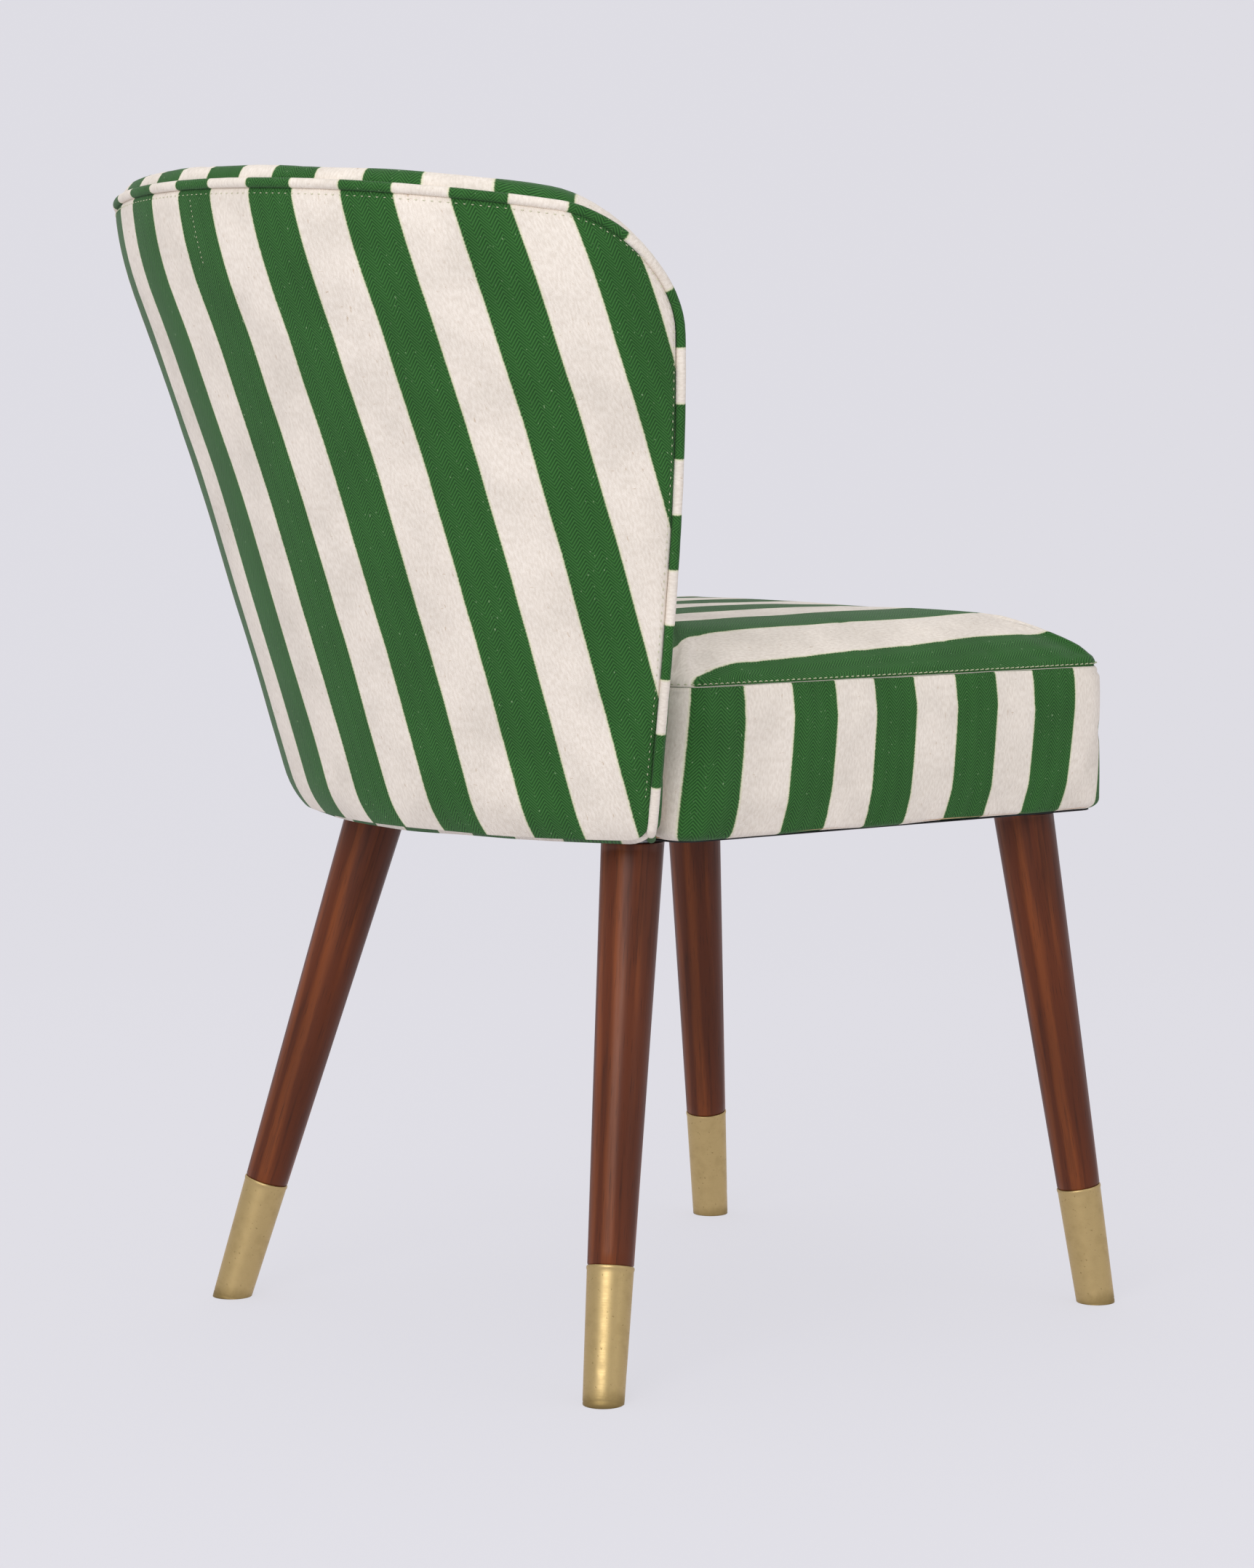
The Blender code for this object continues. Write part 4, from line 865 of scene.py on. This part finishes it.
class DININGCHAIR_OT_inside_back(bpy.types.Operator):
    """Cover the sitter's side of the back: padded cloth that rolls over the edge to the piping"""

    bl_idname = "dining_chair.inside_back"
    bl_label = "Inside back"

    def execute(self, context):
        sizes = context.scene.chair_sizes
        normals = shield_normals()
        places, depths = [], []
        for turn in np.linspace(0.0, math.pi, 13)[:-1]:
            ring, depth = edge_roll(turn)
            places.append(ring)
            depths.append(depth)
        for inset in INWARD:
            ring = shield(inset)
            places.append(ring)
            depths.append(padding(ring, inset))
        rim = len(depths) - len(INWARD)
        middle = np.array((0.0, BACK_HEIGHT / 2))
        last = shield(INWARD[-1])
        for share in TO_MIDDLE:
            ring = middle + (last - middle) * share
            places.append(ring)
            depths.append(padding(ring, INWARD[-1] + (1.0 - share) * 0.05))
        rings = [back_points(p[:, 0], p[:, 1], d) for p, d in zip(places, depths)]
        cloth = []
        face = places[rim]
        for index, ring in enumerate(places):
            if index >= rim:
                cloth.append(np.stack([back_cloth_across(ring[:, 0]), ring[:, 1]], axis=1))
            else:
                span = np.zeros(len(ring))
                for k in range(index, rim):
                    span += np.linalg.norm(rings[k + 1] - rings[k], axis=1)
                flat = np.stack([back_cloth_across(face[:, 0]), face[:, 1]], axis=1)
                cloth.append(flat + normals * span[:, None])
        cloth = [c + np.array((INSIDE_CLOTH_SHIFT + sizes.stripe, 0.0)) for c in cloth]
        peak = back_point(0.0, middle[1], float(padding(np.array([middle]), 0.14)[0]))
        backing = []
        for share in (0.05, 0.35, 0.7, 1.0):
            ring = middle + (shield(0.010) - middle) * share
            backing.append(back_points(ring[:, 0], ring[:, 1], BACKING_DEPTH + outside_turn(ring)))
        rings = backing + rings
        cloth = [cloth[0]] * len(backing) + cloth
        behind = back_point(0.0, middle[1], BACKING_DEPTH)
        hubs = (behind, (0.0, 0.0)), (peak, (INSIDE_CLOTH_SHIFT + sizes.stripe, middle[1]))
        centre = back_point(0.0, middle[1], 0.025)
        piece = skin("inside_back_upholstery", rings, cloth, hubs, centre)
        count = len(rings[0])
        held = np.zeros(len(piece.data.vertices), bool)
        held[: count * (len(backing) + 3)] = True
        held[count * len(rings)] = True
        fill_out(piece, held, 1.5, 0.003, 0.003)
        ripple(piece, sizes.slack, 0.060, 7.7)
        rest(piece, cloth_material(), ("inside_back_cover", "back_foam"))
        return {"FINISHED"}


class DININGCHAIR_OT_outside_back(bpy.types.Operator):
    """Cover the outside of the back: one panel of cloth, drawn in at the piping and turned under below"""

    bl_idname = "dining_chair.outside_back"
    bl_label = "Outside back"

    def execute(self, context):
        sizes = context.scene.chair_sizes
        middle = np.array((0.0, BACK_HEIGHT / 2))
        places, drawn = [], []
        valley = ((0.0026, 0.0040), (0.0034, 0.0022), (0.0048, 0.0009), (0.0070, 0.0002), (0.0100, 0.0))
        for inset, depth in valley:
            places.append(shield(inset))
            drawn.append(depth)
        for inset in (0.014, 0.019, 0.025, 0.032, 0.040, 0.050, 0.062, 0.076, 0.090):
            places.append(shield(inset))
            drawn.append(0.0)
        last = shield(0.090)
        for share in TO_MIDDLE:
            places.append(middle + (last - middle) * share)
            drawn.append(0.0)
        rings, cloth = [], []
        for ring, depth in zip(places, drawn):
            upper = np.clip(ring[:, 1] / 0.05, 0.0, 1.0)
            rings.append(back_points(ring[:, 0], ring[:, 1], depth * upper + outside_turn(ring)))
            cloth.append(np.stack([ring[:, 0] + sizes.stripe / 2, ring[:, 1]], axis=1))
        edge = shield(0.0026)
        under = np.where(edge[:, 1] < 0.02, 0.012, 0.004)
        rings.insert(0, back_points(edge[:, 0], edge[:, 1], under + outside_turn(edge)))
        cloth.insert(0, cloth[0])
        peak = back_point(0.0, middle[1], 0.0)
        hubs = None, (peak, (sizes.stripe / 2, middle[1]))
        inner = back_point(0.0, middle[1], 0.03)
        piece = skin("outside_back_cloth", rings, cloth, hubs, inner)
        ripple(piece, 0.0009, 0.070, 5.3)
        rest(piece, cloth_material(), ("outside_back_cover",))
        return {"FINISHED"}


def piping_path(step=0.003):
    """The cord's line round the sides and top of the back, tucked in at both ends, and its length on the cloth."""
    ring = shield(0.0)
    keep = ring[:, 1] > 0.010
    first = int(np.argmax(keep))
    last = len(ring) - int(np.argmax(keep[::-1]))
    run = ring[first:last]
    depth = 0.0020 + outside_turn(run) * np.clip((0.03 - run[:, 1]) / 0.02, 0.0, 1.0)
    tails = []
    for start, near in ((run[0], run[1]), (run[-1], run[-2])):
        way = (start - near) / np.linalg.norm(start - near)
        tail = []
        for share in np.linspace(0.15, 1.0, 7):
            place = start + way * 0.010 * share
            deep = 0.0020 + outside_turn(start[None])[0] + 0.026 * share**1.6
            tail.append((*place, deep))
        tails.append(tail)
    flat = np.array(tails[0][::-1] + list(zip(run[:, 0], run[:, 1], depth)) + tails[1])
    line = back_points(flat[:, 0], flat[:, 1], flat[:, 2])
    walked, laid = distance_along(line), distance_along(flat)
    even = np.arange(0.0, walked[-1], step)
    path = np.stack([np.interp(even, walked, line[:, a]) for a in range(3)], axis=1)
    return path, np.interp(even, walked, laid)


class DININGCHAIR_OT_piping(bpy.types.Operator):
    """Sew the covered cord round the sides and top of the back, with its stitches beside it"""

    bl_idname = "dining_chair.piping"
    bl_label = "Piping"

    def execute(self, context):
        sizes = context.scene.chair_sizes
        path, laid = piping_path()
        middle = int(np.argmax(path[:, 2] - 10.0 * np.abs(path[:, 0])))
        way = -1.0 if path[0][0] > 0.0 else 1.0
        walked = distance_along(path)
        seed = [noise.noise(Vector((i * 0.21, 1.0, 0.0))) for i in range(len(path))]
        radius = sizes.piping / 2 * (1.0 + 0.05 * np.array(seed))
        piece = tube("back_piping", path, radius, 14)
        layer = piece.data.uv_layers["Cloth"].data
        for corner in layer:
            corner.uv.x = way * (np.interp(corner.uv.x, walked, laid) - laid[middle]) + sizes.stripe / 2
        rest(piece, cloth_material(), ("back_welt",))
        self.sew()
        return {"FINISHED"}

    def sew(self):
        """Stitch beside the cord, and a short dotted line of marking stitches near the top of the back."""
        ring = shield(0.0060)
        keep = ring[:, 1] > 0.030
        first = int(np.argmax(keep))
        last = len(ring) - int(np.argmax(keep[::-1]))
        run = ring[first:last]
        line = back_points(run[:, 0], run[:, 1], np.full(len(run), 0.0001))
        out = line - back_points(run[:, 0], run[:, 1], np.full(len(run), 0.0101))
        out = out / np.linalg.norm(out, axis=1)[:, None]
        row = stitches("back_topstitch", line, out, 0.0052, 0.0016, 0.00030, 0.0003)
        rest(row, cotton_thread("cotton_thread_cream_twisted", "#D5D6B4"))
        rise = np.linspace(0.380, 0.422, 40)
        arc = np.full(len(rise), 0.004)
        line = back_points(arc, rise, np.zeros(len(rise)))
        out = line - back_points(arc, rise, np.full(len(rise), 0.01))
        row = stitches("back_marking_stitch", line, out * 100.0, 0.0034, 0.0012, 0.00028, 0.0003)
        rest(row, bpy.data.materials["cotton_thread_cream_twisted"])


# ---- legs ----


def leg_radius(height, stretch):
    return FOOT_RADIUS + (TOP_RADIUS - FOOT_RADIUS) / (LEG_TOP * stretch) * height


def lean_of(name):
    """The leg's direction, whose height is one metre."""
    end, hand = name.split("_")
    side = -1.0 if hand == "left" else 1.0
    deep = -1.0 if end == "front" else 1.0
    return Vector((-side * SPLAY[end][0], -deep * SPLAY[end][1], 1.0))


def turned(name, profile, steps, dents=()):
    """A turned piece from (radius, height) pairs; a dent is its angle, height, width and depth."""
    work = bmesh.new()
    rings = []
    for radius, height in profile:
        ring = []
        for i in range(steps):
            angle = math.tau * i / steps
            reach = radius
            for dent_angle, dent_height, width, deep in dents:
                turn = (angle - dent_angle + math.pi) % math.tau - math.pi
                far = ((turn * radius) ** 2 + (height - dent_height) ** 2) / width**2
                reach -= deep * math.exp(-far)
            ring.append(work.verts.new((reach * math.cos(angle), reach * math.sin(angle), height)))
        rings.append(ring)
    for low, high in zip(rings, rings[1:]):
        for i in range(steps):
            j = (i + 1) % steps
            work.faces.new((low[i], low[j], high[j], high[i]))
    work.faces.new(rings[0][::-1])
    work.faces.new(rings[-1])
    bmesh.ops.recalc_face_normals(work, faces=work.faces)
    mesh = bpy.data.meshes.new(name)
    work.to_mesh(mesh)
    work.free()
    return show(bpy.data.objects.new(name, mesh))


def stand(piece, name, level_low, level_high):
    """Leans a turned piece on its foot and brings its end rings level at the floor and under the seat."""
    lean = lean_of(name)
    turn = Vector((0.0, 0.0, 1.0)).rotation_difference(lean).to_matrix().to_4x4()
    piece.matrix_world = Matrix.Translation(FEET[name]) @ turn
    climb = (piece.matrix_world.to_3x3() @ Vector((0.0, 0.0, 1.0))).z
    for vertex in piece.data.vertices:
        place = piece.matrix_world @ vertex.co
        for level, keeps_above in ((level_low, True), (level_high, False)):
            if level is None:
                continue
            if place.z < level if keeps_above else place.z > level:
                vertex.co.z += (level - place.z) / climb
                place = piece.matrix_world @ vertex.co
    return piece


class DININGCHAIR_OT_legs(bpy.types.Operator):
    """Turn the four tapered legs in stained wood"""

    bl_idname = "dining_chair.legs"
    bl_label = "Legs"

    def execute(self, context):
        wood = stained_wood(context.scene.chair_colours)
        for name in FEET:
            stretch = lean_of(name).length
            rim = FERRULE_HEIGHT * stretch
            top = LEG_TOP * stretch + LEG_SPARE
            profile = [(leg_radius(0.010, stretch) - 0.0014, 0.010)]
            for inside, above in ((0.0012, -0.002), (0.0010, -0.0006), (0.0004, 0.0004)):
                profile.append((leg_radius(rim, stretch) - inside, rim + above))
            profile += [(leg_radius(h, stretch), h) for h in np.linspace(rim + 0.0012, top, 40)]
            piece = stand(turned("leg_wood_" + name, profile, 64), name, None, LEG_TOP)
            rest(piece, wood, ("leg_" + name,))
        return {"FINISHED"}


class DININGCHAIR_OT_ferrules(bpy.types.Operator):
    """Fit a brushed brass ferrule on each foot, with a rolled rim and a few small dents near the sole"""

    bl_idname = "dining_chair.ferrules"
    bl_label = "Ferrules"

    def execute(self, context):
        brass = brushed_brass(context.scene.chair_colours)
        for number, name in enumerate(FEET):
            stretch = lean_of(name).length
            rim = FERRULE_HEIGHT * stretch

            def wall(height, proud=0.0002):
                return (leg_radius(height, stretch) + proud, height)

            profile = [wall(-0.008), wall(0.0), wall(0.0006, -0.0001), wall(0.0016)]
            profile += [wall(h) for h in np.linspace(0.003, rim - 0.0032, 44)]
            for below, proud in ((0.0026, 0.0004), (0.0016, 0.0006), (0.0007, 0.0005), (0.0002, 0.0002)):
                profile.append(wall(rim - below, proud))
            for below, proud in ((0.0, -0.0002), (0.0003, -0.0008), (0.003, -0.0009)):
                profile.append(wall(rim - below, proud))
            draws = np.random.default_rng(40 + number)
            dents = []
            for _ in range(9):
                angle, height = draws.uniform(0.0, math.tau), draws.uniform(0.003, 0.022)
                dents.append((angle, height, draws.uniform(0.0008, 0.0022), 0.0003))
            piece = stand(turned("ferrule_brass_" + name, profile, 72, dents=dents), name, 0.0, None)
            rest(piece, brass, ("ferrule_" + name,))
        return {"FINISHED"}


class DININGCHAIR_OT_frame(bpy.types.Operator):
    """Finish the frame, boards, lining and fastenings that stay as they were made"""

    bl_idname = "dining_chair.frame"
    bl_label = "Frame and fastenings"

    def execute(self, context):
        beech = planed_timber("beech_planed", "#C9A680", "#A67C55", 0.0030)
        board = planed_timber("birch_plywood_sanded", "#D3B88F", "#B8945F", 0.0016)
        finishes = {
            "beech": beech,
            "plywood": board,
            "zinc_steel": zinc_plate(),
            "dust_cloth": dust_lining(),
        }
        for name, node in frame["nodes"].items():
            if node.hide_render:
                continue
            finish = finishes[self.finish_of(name)]
            for place in node.material_slots:
                place.material = finish
        return {"FINISHED"}

    def finish_of(self, name):
        if "bolt" in name or "plate" in name:
            return "zinc_steel"
        if name == "dust_cover":
            return "dust_cloth"
        if name in ("seat_deck", "back_panel"):
            return "plywood"
        return "beech"


# ---- studio ----


def light(name, place, aim, size, watts):
    """A round soft light that faces aim."""
    lamp = bpy.data.lights.new(name, "AREA")
    lamp.shape = "DISK"
    lamp.size = size
    lamp.energy = watts
    holder = bpy.data.objects.new(name, lamp)
    holder.location = place
    holder.rotation_euler = (Vector(aim) - Vector(place)).to_track_quat("-Z", "Y").to_euler()
    bpy.context.scene.collection.objects.link(holder)
    return holder


class DININGCHAIR_OT_studio(bpy.types.Operator):
    """Set the chair on a pale floor that curves up behind it, with soft lights and a camera"""

    bl_idname = "dining_chair.studio"
    bl_label = "Studio"

    def execute(self, context):
        scene = context.scene
        self.sweep()
        light("key", (-1.6, 2.5, 1.7), (0.0, 0.0, 0.45), 2.0, 42.0)
        light("top", (0.3, 0.6, 3.0), (0.0, 0.0, 0.3), 3.0, 14.0)
        light("side", (-2.6, -0.8, 1.4), (0.0, 0.0, 0.4), 2.0, 5.5)
        world = bpy.data.worlds.new("soft_daylight")
        world.use_nodes = True
        world.node_tree.nodes["Background"].inputs["Color"].default_value = (*linear("#F2F3F8"), 1.0)
        world.node_tree.nodes["Background"].inputs["Strength"].default_value = 0.72
        scene.world = world
        scene.view_settings.view_transform = "Standard"
        self.camera(scene)
        return {"FINISHED"}

    def sweep(self):
        """A floor that turns up into a wall far behind the chair."""
        ahead = Vector((VIEW_AHEAD[0], VIEW_AHEAD[1], 0.0)).normalized()
        side = ahead.cross(Vector((0.0, 0.0, 1.0)))
        line = [(-SWEEP_NEAR, 0.0), (SWEEP_FAR, 0.0)]
        for turn in np.linspace(0.1, math.pi / 2, 16):
            line.append((SWEEP_FAR + SWEEP_TURN * math.sin(turn), SWEEP_TURN - SWEEP_TURN * math.cos(turn)))
        line.append((SWEEP_FAR + SWEEP_TURN, 5.0))
        points, faces = [], []
        for far, up in line:
            for across in (-SWEEP_HALF, SWEEP_HALF):
                points.append(tuple(ahead * far + side * across + Vector((0.0, 0.0, up - SWEEP_DROP))))
        for i in range(len(line) - 1):
            faces.append((2 * i, 2 * i + 1, 2 * i + 3, 2 * i + 2))
        mesh = bpy.data.meshes.new("studio_sweep")
        mesh.from_pydata(points, [], faces)
        piece = show(bpy.data.objects.new("studio_sweep", mesh))
        made, _, shader = new_material("paper_sweep_matt", linear("#E0DFE4"))
        shader.inputs["Base Color"].default_value = (*linear(SWEEP_COLOUR), 1.0)
        shader.inputs["Roughness"].default_value = 0.9
        shader.inputs["Specular IOR Level"].default_value = 0.1
        shader.inputs["Emission Color"].default_value = (*linear(SWEEP_GLOW), 1.0)
        shader.inputs["Emission Strength"].default_value = 0.85
        mesh.materials.append(made)

    def camera(self, scene):
        data = bpy.data.cameras.new("camera")
        data.sensor_fit = "AUTO"
        data.sensor_width = 36.0
        data.lens = VIEW_LENS
        holder = bpy.data.objects.new("camera", data)
        holder.location = VIEW_PLACE
        holder.rotation_euler = Vector(VIEW_AHEAD).to_track_quat("-Z", "Y").to_euler()
        scene.collection.objects.link(holder)
        scene.camera = holder


class DININGCHAIR_PT_panel(bpy.types.Panel):
    """Buttons for every piece of the chair, and its sizes and colours"""

    bl_idname = "DININGCHAIR_PT_panel"
    bl_label = "Dining Chair"
    bl_space_type = "VIEW_3D"
    bl_region_type = "UI"
    bl_category = "Dining Chair"

    def draw(self, context):
        for operator in OPERATORS:
            self.layout.operator(operator.bl_idname)
        for group in (context.scene.chair_sizes, context.scene.chair_colours):
            for key in group.bl_rna.properties.keys():
                if key not in ("rna_type", "name"):
                    self.layout.prop(group, key)


OPERATORS = (
    DININGCHAIR_OT_seat,
    DININGCHAIR_OT_inside_back,
    DININGCHAIR_OT_outside_back,
    DININGCHAIR_OT_piping,
    DININGCHAIR_OT_legs,
    DININGCHAIR_OT_ferrules,
    DININGCHAIR_OT_frame,
    DININGCHAIR_OT_studio,
)
CLASSES = (ChairSizes, ChairColours, *OPERATORS, DININGCHAIR_PT_panel)


def register():
    for item in CLASSES:
        bpy.utils.register_class(item)
    bpy.types.Scene.chair_sizes = bpy.props.PointerProperty(type=ChairSizes)
    bpy.types.Scene.chair_colours = bpy.props.PointerProperty(type=ChairColours)


def unregister():
    del bpy.types.Scene.chair_colours
    del bpy.types.Scene.chair_sizes
    for item in reversed(CLASSES):
        bpy.utils.unregister_class(item)


def main():
    for item in list(bpy.data.objects):
        if item.name in ("Cube", "Light", "Camera"):
            bpy.data.objects.remove(item, do_unlink=True)
    register()
    for operator in OPERATORS:
        group, name = operator.bl_idname.split(".")
        getattr(getattr(bpy.ops, group), name)()


if __name__ == "__main__":
    main()
